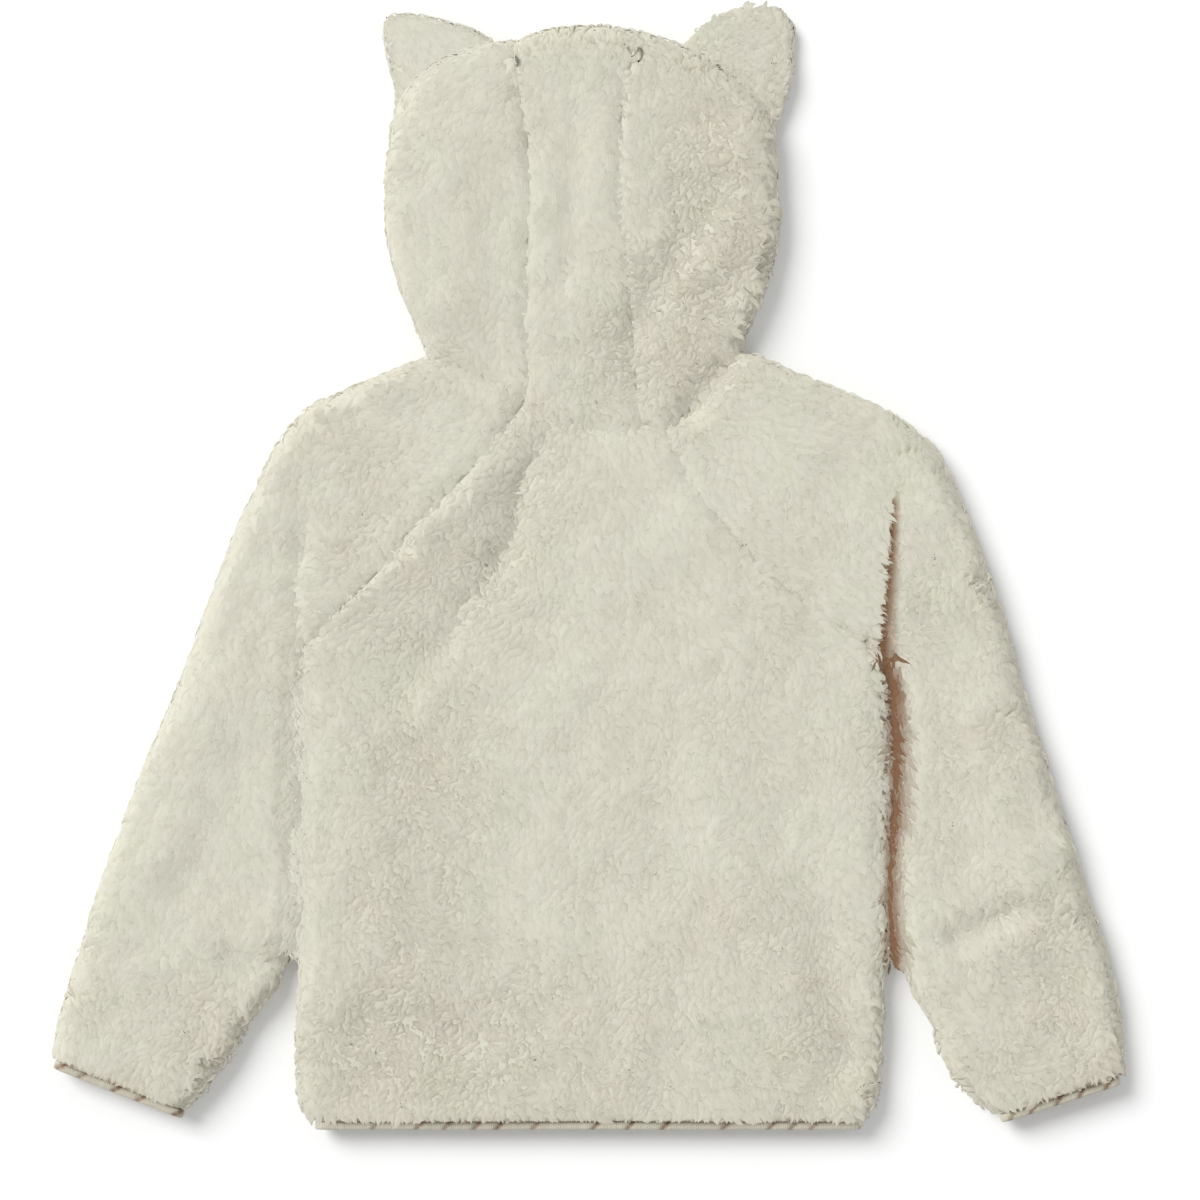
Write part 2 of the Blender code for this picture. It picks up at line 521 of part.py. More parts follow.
def add_ear(name, edge, base, near_side, far_side, tip, thick):
    """Two layers of sherpa pressed together: sections from the hood's edge to the tip."""
    root = curve(edge, np.linspace(*base, 9))
    outward = np.array(tip) - root.mean(axis=0)
    outward = outward / np.linalg.norm(outward)
    root = root + outward * (2 * SEAM_GAP)
    near = np.array([root[0], *near_side])
    far = np.array([root[-1], *far_side])
    bow = root - root[0] - np.linspace(0, 1, 9)[:, None] * (root[-1] - root[0])
    angle = np.linspace(0, 2 * np.pi, EAR_ROUND, endpoint=False)
    across = (1 - np.cos(angle)) / 2
    rings = []
    for k, (a, b) in enumerate(zip(near, far)):
        plan = a + across[:, None] * (b - a)
        fade = 1 - k / len(near)
        bowed = [np.interp(across, np.linspace(0, 1, 9), bow[:, n]) for n in (0, 1)]
        plan = plan + fade * np.stack(bowed, axis=1)
        tall = thick * (1 - 0.3 * k / len(near))
        rings.append(stacked(plan, tall / 2 * (1 + np.sign(np.sin(angle)) * np.abs(np.sin(angle)) ** 0.5)))
    points = np.concatenate([*rings, [[*tip, thick * 0.3]]])
    faces = []
    for k in range(len(rings) - 1):
        for n in range(EAR_ROUND):
            m = (n + 1) % EAR_ROUND
            lower, upper = k * EAR_ROUND, (k + 1) * EAR_ROUND
            faces.append([lower + n, lower + m, upper + m, upper + n])
    last = (len(rings) - 1) * EAR_ROUND
    faces += [[last + n, last + (n + 1) % EAR_ROUND, len(points) - 1] for n in range(EAR_ROUND)]
    half = EAR_ROUND // 2
    faces += [[n + 1, n, (EAR_ROUND - n) % EAR_ROUND, EAR_ROUND - n - 1] for n in range(1, half - 1)]
    faces += [[1, 0, EAR_ROUND - 1], [half, half - 1, half + 1]]
    add_object(name, points, faces, "sherpa")


def band(line, low, high, width, ways):
    """Outer and inner points of a flat strip: its line, its two heights, and the ways its width runs."""
    sides = np.stack([line, line + ways * width], axis=0)
    return tuple(stacked(sides, np.broadcast_to(z, sides.shape[:2])) for z in (high, low))


def round_the_fold(left, right, loop_start, loop_end, ways, side_points=8):
    """A binding's outer and inner points round the mouth of a tube that lies flat.

    The strip starts at loop_start on the lower layer, goes round the left fold, over the upper layer
    to the right fold and back to loop_end. Each stretch is a share of the way from left to right.
    """
    half, hollow = BINDING_WALL + FOLD_HOLLOW, FOLD_HOLLOW
    across = np.linalg.norm(right - left)
    inset = half / across
    shares, levels, bends = [], [], []
    for share in np.linspace(loop_start, inset, side_points):
        shares.append(share), levels.append(-1.0), bends.append(0.0)
    for angle in TURN:
        shares.append(inset), levels.append(-np.cos(angle)), bends.append(-np.sin(angle))
    for share in np.linspace(inset, 1 - inset, 2 * side_points):
        shares.append(share), levels.append(1.0), bends.append(0.0)
    for angle in TURN:
        shares.append(1 - inset), levels.append(np.cos(angle)), bends.append(np.sin(angle))
    for share in np.linspace(1 - inset, loop_end, side_points):
        shares.append(share), levels.append(-1.0), bends.append(0.0)
    shares, levels, bends = map(np.array, (shares, levels, bends))
    made = []
    for radius in (half, hollow):
        line = left + (shares + bends * radius / across)[:, None] * (right - left)
        rows = np.stack([line, line + ways * BINDING_WIDTH])
        made.append(stacked(rows, np.broadcast_to(FOLD_RADIUS + levels * radius, rows.shape[:2])))
    return made


def add_mouth_binding(name, left, right, below, loop_start, loop_end):
    """The binding of a cuff or of the hem, just past the pile's edge."""
    left, right = np.array(left), np.array(right)
    along = (right - left) / np.linalg.norm(right - left)
    ways = np.array([along[1], -along[0]]) * (1 if below else -1)
    left, right = left + along * BINDING_INSET, right - along * BINDING_INSET
    left, right = left + ways * SEAM_GAP, right + ways * SEAM_GAP
    add_wall(name, *round_the_fold(left, right, loop_start, loop_end, ways), finish="binding")


def add_face_binding():
    """The binding round the face opening, from one side of the chin over the forehead to the other."""
    left, right = (
        curve(face, face_steps(face)[CHIN_ROWS:-FOREHEAD_ROWS]) for face in (FACE_EDGE_LEFT, FACE_EDGE_RIGHT))
    line = np.concatenate([left, right[::-1]])
    ahead = np.gradient(line, axis=0)
    ways = np.stack([ahead[:, 1], -ahead[:, 0]], axis=1)
    ways = ways / np.linalg.norm(ways, axis=1, keepdims=True)
    line = line + ways * 2 * SEAM_GAP
    strip = band(line, FACE_BINDING_Z, FACE_BINDING_Z + BINDING_WALL, BINDING_WIDTH, ways)
    add_wall("hood_binding", *strip, finish="binding")


def block(name, x, y, z, finish):
    """A plain block between two values on each axis."""
    corners = [(a, b, c) for a in x for b in y for c in z]
    faces = [(0, 1, 3, 2), (4, 6, 7, 5), (0, 4, 5, 1), (2, 3, 7, 6), (0, 2, 6, 4), (1, 5, 7, 3)]
    return add_object(name, corners, faces, finish)


def join(base, *others):
    """Boolean union: the others are shapes of one piece with the base."""
    for other in others:
        cut = base.modifiers.new(other.name, "BOOLEAN")
        cut.operation = "UNION"
        cut.object = other
        other.hide_render = True
        other.display_type = "WIRE"


def add_zip():
    """Tapes on the fronts' thin edges, the closed chain, the box at its foot and the slider at the chin."""
    foot = HEM_Y + BOX_RISE
    tape_z = (CHAIN_Z - TAPE_THICK / 2, CHAIN_Z + TAPE_THICK / 2)
    for name, side in (("zip_tape_left", -1), ("zip_tape_right", 1)):
        x = sorted((side * TAPE_INNER, side * TAPE_OUTER))
        block(name, x, (HEM_Y + SEAM_GAP, CHIN_Y - SEAM_GAP), tape_z, "zip_tape")
    chain_z = (CHAIN_Z - CHAIN_THICK / 2, CHAIN_Z + CHAIN_THICK / 2)
    block("zip_chain", (-CHAIN_HALF, CHAIN_HALF), (foot + SEAM_GAP, SLIDER_Y + 0.5), chain_z, "zip_teeth")
    block("zip_box", (-CHAIN_HALF, CHAIN_HALF), (HEM_Y - BINDING_WIDTH, foot),
          (CHAIN_Z - BOX_THICK / 2, CHAIN_Z + BOX_THICK / 2), "zip_metal")


def add_slider():
    """Two plates joined by a post above the chain's end, with the bail that holds the pull."""
    plate_x, plate_y = (-PLATE_HALF, PLATE_HALF), (SLIDER_Y - PLATE_LONG / 2, SLIDER_Y + PLATE_LONG / 2)
    outer_z = CHAIN_Z - PLATE_OFF
    inner_z = CHAIN_Z + PLATE_OFF
    slider = block("zip_slider", plate_x, plate_y, (outer_z - PLATE_THICK, outer_z), "zip_metal")
    back_plate = block("slider_back_plate", plate_x, plate_y, (inner_z, inner_z + PLATE_THICK), "zip_metal")
    post = block("slider_post", (-POST_HALF, POST_HALF), (SLIDER_Y + POST_FROM, SLIDER_Y + POST_TO),
                 (outer_z - BITE, inner_z + BITE), "zip_metal")
    bail_x = (-BAIL_HALF, BAIL_HALF)
    foot_z = outer_z - PLATE_THICK
    floor_z = foot_z - BAIL_DROP
    legs = []
    for name, end in (("slider_front_leg", -1), ("slider_back_leg", 1)):
        leg_y = sorted((SLIDER_Y + end * BAIL_REACH, SLIDER_Y + end * (BAIL_REACH - BAIL_BAR)))
        legs.append(block(name, bail_x, leg_y, (floor_z - BAIL_BAR, foot_z + BITE), "zip_metal"))
    bridge_y = (SLIDER_Y - BAIL_REACH + BAIL_BAR / 2, SLIDER_Y + BAIL_REACH - BAIL_BAR / 2)
    bridge = block("slider_bridge", bail_x, bridge_y, (floor_z - BAIL_BAR, floor_z), "zip_metal")
    join(slider, back_plate, post, *legs, bridge)


def add_pull():
    """The pull tab: a flat plate slotted round the bail, with its origin on the hinge's axis."""
    outline = [
        (-PULL_HALF, PULL_THICK / 2), (-PULL_HALF, PULL_CORNER - PULL_LONG),
        (PULL_CORNER - PULL_HALF, -PULL_LONG), (PULL_HALF - PULL_CORNER, -PULL_LONG),
        (PULL_HALF, PULL_CORNER - PULL_LONG), (PULL_HALF, PULL_THICK / 2)]
    slot = [
        (-PULL_SLOT, -PULL_THICK / 2), (PULL_SLOT, -PULL_THICK / 2),
        (PULL_SLOT, -PULL_ROOT), (-PULL_SLOT, -PULL_ROOT)]
    shape = bpy.data.curves.new("zip_pull", "CURVE")
    shape.dimensions = "2D"
    shape.fill_mode = "BOTH"
    shape.extrude = PULL_THICK / 2 * MM
    for points in (outline, slot):
        spline = shape.splines.new("POLY")
        spline.points.add(len(points) - 1)
        for point, (x, y) in zip(spline.points, points):
            point.co = (x * MM, y * MM, 0, 1)
        spline.use_cyclic_u = True
    shape.materials.append(material("zip_metal"))
    pull = bpy.data.objects.new("zip_pull", shape)
    pull.location = (ZIP_LINE * MM, SLIDER_Y * MM, PULL_AXIS_Z * MM)
    bpy.context.scene.collection.objects.link(pull)


def build():
    for old in list(bpy.data.objects):
        bpy.data.objects.remove(old)
    at_left, at_right = share_at(BACK_NECK, NECK_LEFT_SEAM), share_at(BACK_NECK, NECK_RIGHT_RAGLAN)
    add_back()
    add_front("front_left", -1, BODY_LEFT, UNDER_RAGLAN_LEFT, FRONT_NECK_LEFT)
    add_front("front_right", 1, BODY_RIGHT, UNDER_RAGLAN_RIGHT, FRONT_NECK_RIGHT)
    add_sleeve("sleeve_left", ARM_INNER_LEFT, ARM_OUTER_LEFT, SHOULDER_LEFT, RAGLAN_LEFT,
               UNDER_RAGLAN_LEFT, at_left, 0.0, FRONT_NECK_LEFT)
    add_sleeve("sleeve_right", ARM_INNER_RIGHT, ARM_OUTER_RIGHT, SHOULDER_RIGHT, RAGLAN_RIGHT,
               UNDER_RAGLAN_RIGHT, at_right, 1.0, FRONT_NECK_RIGHT)
    add_hood_side("hood_side_left", HOOD_SEAM_LEFT, HOOD_EDGE_LEFT, FACE_EDGE_LEFT,
                  at_left, 0.0, FRONT_NECK_LEFT)
    add_hood_side("hood_side_right", HOOD_SEAM_RIGHT, HOOD_EDGE_RIGHT, FACE_EDGE_RIGHT,
                  share_at(BACK_NECK, NECK_RIGHT_SEAM), 1.0, FRONT_NECK_RIGHT)
    add_hood_centre()
    for name, ear in EARS.items():
        add_ear(name, **ear)
    add_mouth_binding("hem_binding", BODY_LEFT[0], BODY_RIGHT[0], True, 0.485, 0.515)
    add_mouth_binding("cuff_binding_left", ARM_OUTER_LEFT[0], ARM_INNER_LEFT[0], True, 0.88, 0.895)
    add_mouth_binding("cuff_binding_right", ARM_INNER_RIGHT[0], ARM_OUTER_RIGHT[0], True, 0.105, 0.12)
    add_face_binding()
    add_zip()
    add_slider()
    add_pull()


build()
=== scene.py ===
import math
import bpy
import numpy as np
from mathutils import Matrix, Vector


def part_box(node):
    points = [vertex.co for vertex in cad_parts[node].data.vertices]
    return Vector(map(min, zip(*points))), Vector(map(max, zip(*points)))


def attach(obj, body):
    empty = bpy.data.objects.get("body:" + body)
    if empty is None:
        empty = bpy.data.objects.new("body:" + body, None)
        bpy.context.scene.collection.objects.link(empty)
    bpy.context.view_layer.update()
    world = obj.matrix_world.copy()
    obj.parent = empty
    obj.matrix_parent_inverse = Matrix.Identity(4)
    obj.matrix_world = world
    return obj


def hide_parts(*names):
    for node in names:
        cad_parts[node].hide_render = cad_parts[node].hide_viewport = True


# A child's sherpa zip-up hoodie, laid on its front with the back up. Tables and sums are in
# millimetres, and a mesh turns them into metres as it is made.

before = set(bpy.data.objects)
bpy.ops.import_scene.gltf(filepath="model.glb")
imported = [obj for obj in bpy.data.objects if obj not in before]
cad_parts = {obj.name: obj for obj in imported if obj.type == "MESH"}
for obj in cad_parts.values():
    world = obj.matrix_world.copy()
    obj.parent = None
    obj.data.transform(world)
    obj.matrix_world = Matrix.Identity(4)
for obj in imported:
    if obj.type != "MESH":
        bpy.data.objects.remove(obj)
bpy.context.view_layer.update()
mm = 0.001
body = "garment"

# ---- camera and light

view = {
    "centre": (5.8, -19.1, 11.0),  # what the middle of the picture looks at
    "width": 696.0,  # how much of that plane the picture takes in
    "distance": 2600.0,
    "sensor": 36.0,
}
light = {
    "sky": 0.60,
    "sunEnergy": 2.55,
    "sunAngle": 32.0,  # degrees across, which sets how soft the shadow is
    "sunElevation": 42.0,
    "sunFrom": 142.0,  # degrees round from +X
}


def addCamera():
    cameraData = bpy.data.cameras.new("camera")
    cameraData.sensor_width = view["sensor"]
    cameraData.lens = view["sensor"] * view["distance"] / view["width"]
    cameraData.clip_end = 20.0
    camera = bpy.data.objects.new("camera", cameraData)
    x, y, z = view["centre"]
    camera.location = (x * mm, y * mm, (z + view["distance"]) * mm)
    bpy.context.scene.collection.objects.link(camera)
    bpy.context.scene.camera = camera


def addLight():
    world = bpy.data.worlds.new("studio")
    bpy.context.scene.world = world
    world.use_nodes = True
    world.node_tree.nodes["Background"].inputs["Color"].default_value = (1.0, 1.0, 1.0, 1.0)
    world.node_tree.nodes["Background"].inputs["Strength"].default_value = light["sky"]
    sunData = bpy.data.lights.new("key", "SUN")
    sunData.energy = light["sunEnergy"]
    sunData.angle = math.radians(light["sunAngle"])
    sun = bpy.data.objects.new("key", sunData)
    sun.rotation_euler = (0.0, math.radians(90 - light["sunElevation"]), math.radians(light["sunFrom"]))
    bpy.context.scene.collection.objects.link(sun)
    bpy.context.scene.view_settings.view_transform = "Standard"


def addFloor():
    data = bpy.data.meshes.new("floor")
    half = 4.0
    corners = [(-half, -half, 0), (half, -half, 0), (half, half, 0), (-half, half, 0)]
    data.from_pydata(corners, [], [(0, 1, 2, 3)])
    floor = bpy.data.objects.new("floor", data)
    bpy.context.scene.collection.objects.link(floor)
    paper = bpy.data.materials.new("floorPaper")
    paper.use_nodes = True
    shader = paper.node_tree.nodes["Principled BSDF"]
    shader.inputs["Base Color"].default_value = (0.90, 0.90, 0.90, 1.0)
    shader.inputs["Roughness"].default_value = 0.9
    data.materials.append(paper)


addCamera()
addLight()
addFloor()
print("camera, light and floor are in place")

# ---- the cut: edges as they lie, x, y

cut = {
    "bodyLeft": [
        (-163, -320.5), (-168.5, -312), (-170.5, -290), (-170, -230), (-168.5, -150), (-167.5, -90),
        (-166, -49),
    ],
    "bodyRight": [
        (161, -320.5), (167, -312), (169.5, -290), (172, -230), (171, -185), (172.5, -120), (171, -85),
        (170.5, -50),
    ],
    "raglanLeft": [(-166, -49), (-144.5, -25), (-120.5, 0), (-98.5, 27.5), (-70.5, 54.5), (-37, 95.5)],
    "raglanRight": [(170.5, -50), (130, -25), (99, 1), (75, 28.5), (56, 55), (44, 83.5)],
    "underRaglanLeft": [(-166, -49), (-132, -18), (-96, 22), (-56, 77)],
    "underRaglanRight": [(170.5, -50), (132, -20), (94, 22), (52, 79)],
    "armInnerLeft": [
        (-231.5, -316), (-215, -295), (-197.5, -264), (-179.5, -240.5), (-173.5, -222), (-171.3, -150),
        (-170, -90), (-168, -49.5),
    ],
    "armOuterLeft": [
        (-312.5, -284), (-305.5, -252), (-285, -188), (-257, -111.5), (-236, -60), (-226.5, -33.5),
    ],
    "shoulderLeft": [
        (-226.5, -33.5), (-206.5, 19), (-189, 55.5), (-178, 76.5), (-163.5, 92.5), (-141.5, 103),
        (-93, 122),
    ],
    "armInnerRight": [
        (234, -318), (214, -303), (197.5, -268.5), (182.5, -238.5), (176.5, -205), (176.5, -176.5),
        (178.5, -141), (179.5, -100), (178, -72), (172.5, -50.5),
    ],
    "armOuterRight": [(309.5, -293.5), (306.5, -252), (287.5, -186), (264, -111.5), (248, -60), (242, -38)],
    "shoulderRight": [
        (242, -38), (227, 8), (213.5, 42), (199, 70.5), (187, 81.5), (169, 92.5), (129, 109), (86, 126.5),
    ],
    "backNeck": [
        (-93, 122), (-72, 114), (-52, 105.5), (-37, 95.5), (-22, 86), (-8, 82.5), (10, 81.8), (29, 81.5),
        (44, 83.5), (57, 90), (69, 100), (78, 112.5), (86, 126.5),
    ],
    "frontNeckLeft": [(-93, 122), (-75, 101), (-56, 77), (-32, 58), (-5, 46)],
    "frontNeckRight": [(86, 126.5), (70, 101), (52, 79), (30, 58), (5, 46)],
    "hoodSeamLeft": [
        (-37, 95.5), (-35.5, 130), (-36, 172), (-34.8, 227), (-36, 249), (-41, 275), (-43, 293.8),
    ],
    "hoodSeamRight": [
        (29, 81.5), (25.5, 125), (22.5, 170), (16.5, 212), (18, 256), (22.5, 285), (27.5, 298.8),
    ],
    "hoodEdgeLeft": [
        (-93, 122), (-99, 137), (-107, 155), (-113, 173), (-117.5, 197), (-118.5, 219), (-117, 242),
        (-112.5, 264), (-103, 280), (-87, 292.5), (-66.5, 301), (-43.5, 306),
    ],
    "hoodEdgeRight": [
        (86, 126.5), (90.5, 138), (97, 153), (105, 173), (109.5, 196), (110, 219), (109, 242),
        (105.5, 260.5), (97, 273), (81, 286), (55, 301.5), (28.5, 311),
    ],
    "hoodCrown": [(-43.5, 306), (-20.5, 312.5), (5.5, 314), (28.5, 311)],
    "faceEdgeLeft": [
        (-5, 46), (-5, 62), (-7, 74), (-36, 102), (-56, 136), (-64, 173), (-61, 212), (-50, 246),
        (-39, 266), (-43, 293.8),
    ],
    "faceEdgeRight": [
        (5, 46), (5, 62), (7, 74), (30, 100), (48, 135), (56, 172), (52, 212), (38, 246), (21, 268),
        (27.5, 298.8),
    ],
    "neckLeftSeam": (-37, 95.5),
    "neckRightSeam": (29, 81.5),
    "neckRightRaglan": (44, 83.5),
}

cloth = {
    "wall": 10.0,  # backing and pile together
    "gap": 2.5,  # air between the back and the front
    "leastGap": 1.0,
    "seamShift": 0.25,
    "neckShift": 0.4,
    "hoodSwell": 1.5,  # the hood is this much fuller than the body
    "swellFrom": 112.0,
    "swellTo": 150.0,
    "zipOpening": 5.0,
    "edgeWall": 5.5,  # the fronts are stitched down to this beside the zip
    "edgeFlat": 16.0,
    "edgeSlope": 27.0,
    "chinY": 74.0,
    "hemY": -320.5,
}
flatHeight = 2 * cloth["wall"] + cloth["gap"]
foldRadius = flatHeight / 2
foldHollow = cloth["gap"] / 2

# How finely the cloth is cut up: rows up the arm, the raglan and the hood, and columns across
fine = {
    "arm": 62, "raglan": 34, "hood": 52, "back": 84, "front": 34, "sleeve": 44, "under": 18, "side": 28,
    "centre": 20, "chin": 5, "forehead": 6, "rolled": 4, "turn": 9,
}
rolledEdge = np.arange(fine["rolled"]) / fine["rolled"]
turnAngles = np.linspace(0, np.pi, fine["turn"] + 2)[1:-1]

# The folds of the upper layer: x, y, to x, y, half width, height
folds = [
    (-168, -62, -165, 30, 7, -1.6),  # left armpit
    (-29, 70, -52, 4, 9, -2.8),  # drag line from the neck
    (-52, 4, -110, -70, 12, -2.4),  # its lower stretch
    (-60, 56, -130, -20, 12, 2.4),  # ridge beside it
    (-140, -100, -120, -190, 16, 2),  # left flank
    (-125, -262, -70, -268, 14, -2.6),  # left hip dent
    (-25, -215, 25, -290, 20, 2),  # lower back billow
    (70, -120, 118, -235, 18, 2.2),  # right flank ridge
    (132, -205, 150, -285, 11, -2.2),  # right hip dent
    (60, 30, 110, -20, 16, 1.8),  # right shoulder blade
    (56, 93, 87, 128, 7, -5.5),  # nape fold right
    (-95, 121, -58, 110, 6, -2.5),  # nape fold left
    (78, 224, 24, 138, 10, -2.6),  # hood right panel
    (66, 170, 88, 245, 16, 2.4),  # hood right billow
    (-6, 262, -14, 168, 8, -1.8),  # hood centre dent
    (-78, 160, -80, 250, 20, 2.2),  # hood left billow
    (212, -213, 248, -196, 7, -3.2),  # right elbow crease
    (226, -90, 258, -190, 12, 2.4),  # right sleeve ridge
    (262, -232, 290, -268, 10, -2.4),  # right forearm dent
    (-212, -60, -250, -170, 14, 2.2),  # left sleeve ridge
    (-176, -236, -208, -222, 7, -3),  # left elbow crease
]
# Where the pile is more curled, or combed smoother (below 0): x, y, half widths, how much more
curls = [
    (-75, 215, 45, 85, -0.25), (-8, 230, 24, 70, -0.30), (20, 118, 26, 34, 0.55),
    (72, 190, 36, 80, 0.60), (70, 255, 30, 30, 0.15), (-30, 50, 20, 50, 0.35), (-60, 0, 26, 40, 0.50),
    (-105, -60, 30, 60, 0.35), (20, 10, 80, 55, -0.20), (-100, 90, 60, 30, -0.15),
    (110, 70, 60, 30, -0.10), (-120, -160, 40, 60, 0.30), (-100, -265, 60, 40, 0.55),
    (0, -290, 170, 26, 0.22), (130, -260, 36, 60, 0.40), (-210, -280, 26, 34, 0.45),
    (-215, -70, 45, 120, -0.26), (-95, 300, 36, 26, -0.22), (270, -250, 40, 70, 0.40),
    (225, -60, 40, 70, 0.15), (10, -150, 70, 60, 0.10), (90, -60, 50, 60, -0.05),
]


def ease(share):  # 3 s^2 - 2 s^3, held between 0 and 1
    share = np.clip(share, 0, 1)
    return share * share * (3 - 2 * share)


def span(ends, share):  # the value a share of the way between two
    return ends[0] + (ends[1] - ends[0]) * share


def unit(v):
    return v / np.maximum(np.linalg.norm(v, axis=-1, keepdims=True), 1e-9)


def curve(table, shares):  # cubic Hermite through the table's points, by share of its length
    knots = np.array(table, float)
    step = np.linalg.norm(np.diff(knots, axis=0), axis=1)
    along = np.concatenate([[0], np.cumsum(step)])
    slopes = np.gradient(knots, along, axis=0)
    at = np.atleast_1d(shares) * along[-1]
    k = np.clip(np.searchsorted(along, at, side="right") - 1, 0, len(step) - 1)
    h = step[k][..., None]
    t = (at - along[k])[..., None] / h
    return (
        (2 * t**3 - 3 * t**2 + 1) * knots[k]
        + (t**3 - 2 * t**2 + t) * h * slopes[k]
        + (3 * t**2 - 2 * t**3) * knots[k + 1]
        + (t**3 - t**2) * h * slopes[k + 1]
    )


def shareAt(table, point):  # how far along a table's line one of its points lies
    knots = np.array(table, float)
    along = np.concatenate([[0], np.cumsum(np.linalg.norm(np.diff(knots, axis=0), axis=1))])
    return along[table.index(point)] / along[-1]


def shortOfEnd(table, end):  # the share of a line that is a fold's radius short of its end
    short = foldRadius / np.linalg.norm(np.diff(table, axis=0), axis=1).sum()
    return short if end == 0 else 1 - short


def cutLine(table, start, end, count=25):  # even steps from one share of a line to another
    return [tuple(p) for p in curve(table, np.linspace(start, end, count))]


def stepped(points, towards, distance):  # point + unit(towards - point) x distance
    return points + unit(towards - points) * distance


def noise(x, y, size, seed):  # random values on a lattice, blended by 3 t^2 - 2 t^3 between them
    lattice = np.random.RandomState(seed).rand(256, 256)
    u, v = x / size + 91.7, y / size + 57.3
    i, j = np.floor(u).astype(int), np.floor(v).astype(int)
    a, b = ease(u - i), ease(v - j)
    i, j, k, m = i % 256, j % 256, (i + 1) % 256, (j + 1) % 256
    low = lattice[i, j] * (1 - a) + lattice[k, j] * a
    high = lattice[i, m] * (1 - a) + lattice[k, m] * a
    return low * (1 - b) + high * b


def foldHeight(x, y):  # the sum of each fold's height times exp(-(distance / half width)^2)
    height = np.zeros_like(x)
    for x0, y0, x1, y1, width, rise in folds:
        dx, dy = x1 - x0, y1 - y0
        near = np.clip(((x - x0) * dx + (y - y0) * dy) / (dx * dx + dy * dy), 0, 1)
        away = np.hypot(x - x0 - near * dx, y - y0 - near * dy)
        height = height + rise * np.exp(-((away / width) ** 2))
    return height


def curlAt(x, y):  # 0 where the pile is combed smooth, 1 where it is tightly curled
    curl = 0.36 + 0.30 * (noise(x, y, 46, 5) - 0.5) + 0.22 * (noise(x, y, 17, 6) - 0.5)
    for x0, y0, rx, ry, more in curls:
        curl = curl + more * np.exp(-(((x - x0) / rx) ** 2) - ((y - y0) / ry) ** 2)
    return np.clip(curl, 0, 1)


def topHeight(plan):  # the upper layer's outside: flat height + the hood's swell + folds
    x, y = plan[..., 0], plan[..., 1]
    swell = cloth["hoodSwell"] * ease((y - cloth["swellFrom"]) / (cloth["swellTo"] - cloth["swellFrom"]))
    return flatHeight + swell + foldHeight(x, y)


def upperHollow(height):  # its inside: a wall lower, but clear of the lower layer
    return np.maximum(height - cloth["wall"], cloth["wall"] + cloth["leastGap"])


def lowerHollow(plan):  # the lower layer's inside: a wall up, and less beside the zip
    x, y = plan[..., 0], plan[..., 1]
    beside = 1 - ease((np.abs(x) - cloth["edgeFlat"]) / (cloth["edgeSlope"] - cloth["edgeFlat"]))
    belowChin = 1 - ease((y - cloth["chinY"] - 4) / 14)
    return cloth["wall"] - (cloth["wall"] - cloth["edgeWall"]) * beside * belowChin


def grid(left, right, shares, bottom=None, top=None, reach=0.2):
    # points at left + share (right - left), with the first or last rows bent to follow a line
    rows = len(left)
    shares = np.broadcast_to(shares, (rows, np.shape(shares)[-1]))
    plan = left[:, None] + shares[..., None] * (right - left)[:, None]
    for line, away in ((bottom, np.arange(rows)), (top, np.arange(rows)[::-1])):
        if line is None:
            continue
        bow = curve(line, shares.ravel()).reshape(*shares.shape, 2)
        ends = curve(line, [0.0, 1.0])
        bow = bow - ends[0] - shares[..., None] * (ends[1] - ends[0])
        plan = plan + bow * ease(1 - away / (reach * rows))[:, None, None]
    return plan


def rolledPlan(plan, roll, atStart):
    # an edge's columns carried round a quarter circle: x = r (1 - cos a), z = r sin a
    order = slice(None) if atStart else slice(None, None, -1)
    flat = plan[:, order]
    k = len(rolledEdge)
    inward = unit(flat[:, k] - flat[:, 0])
    angle = rolledEdge * np.pi / 2
    outer, inner, lying = flat.copy(), flat.copy(), np.ones(flat.shape[:2])
    step = roll[:, None, None] * inward[:, None]
    outer[:, :k] += step * (foldRadius * (1 - np.cos(angle) - rolledEdge))[None, :, None]
    inner[:, :k] += step * (foldRadius * (1 - rolledEdge) - foldHollow * np.cos(angle))[None, :, None]
    lying[:, :k] = 1 - roll[:, None] * (1 - np.sin(angle))
    return outer[:, order], inner[:, order], lying[:, order]


def layer(plan, upper, rollStart=None, rollEnd=None):
    # outer and inner points: middle + (height - middle) x lying, where lying is 0 to 1 round a rolled edge
    outer, inner, lying = plan, plan, np.ones(plan.shape[:2])
    if rollStart is not None:
        outer, inner, lying = rolledPlan(plan, rollStart, True)
    if rollEnd is not None:
        outerEnd, innerEnd, lyingEnd = rolledPlan(plan, rollEnd, False)
        outer, inner, lying = outer + outerEnd - plan, inner + innerEnd - plan, lying * lyingEnd
    top = topHeight(plan)
    hollow, under = upperHollow(top), lowerHollow(plan)
    middle = (hollow + np.maximum(under, cloth["wall"])) / 2
    if upper:
        zOuter, zInner = middle + (top - middle) * lying, middle + (hollow - middle) * lying
    else:
        zOuter, zInner = middle * (1 - lying), middle + (under - middle) * lying
    return np.dstack([outer, zOuter]), np.dstack([inner, zInner])


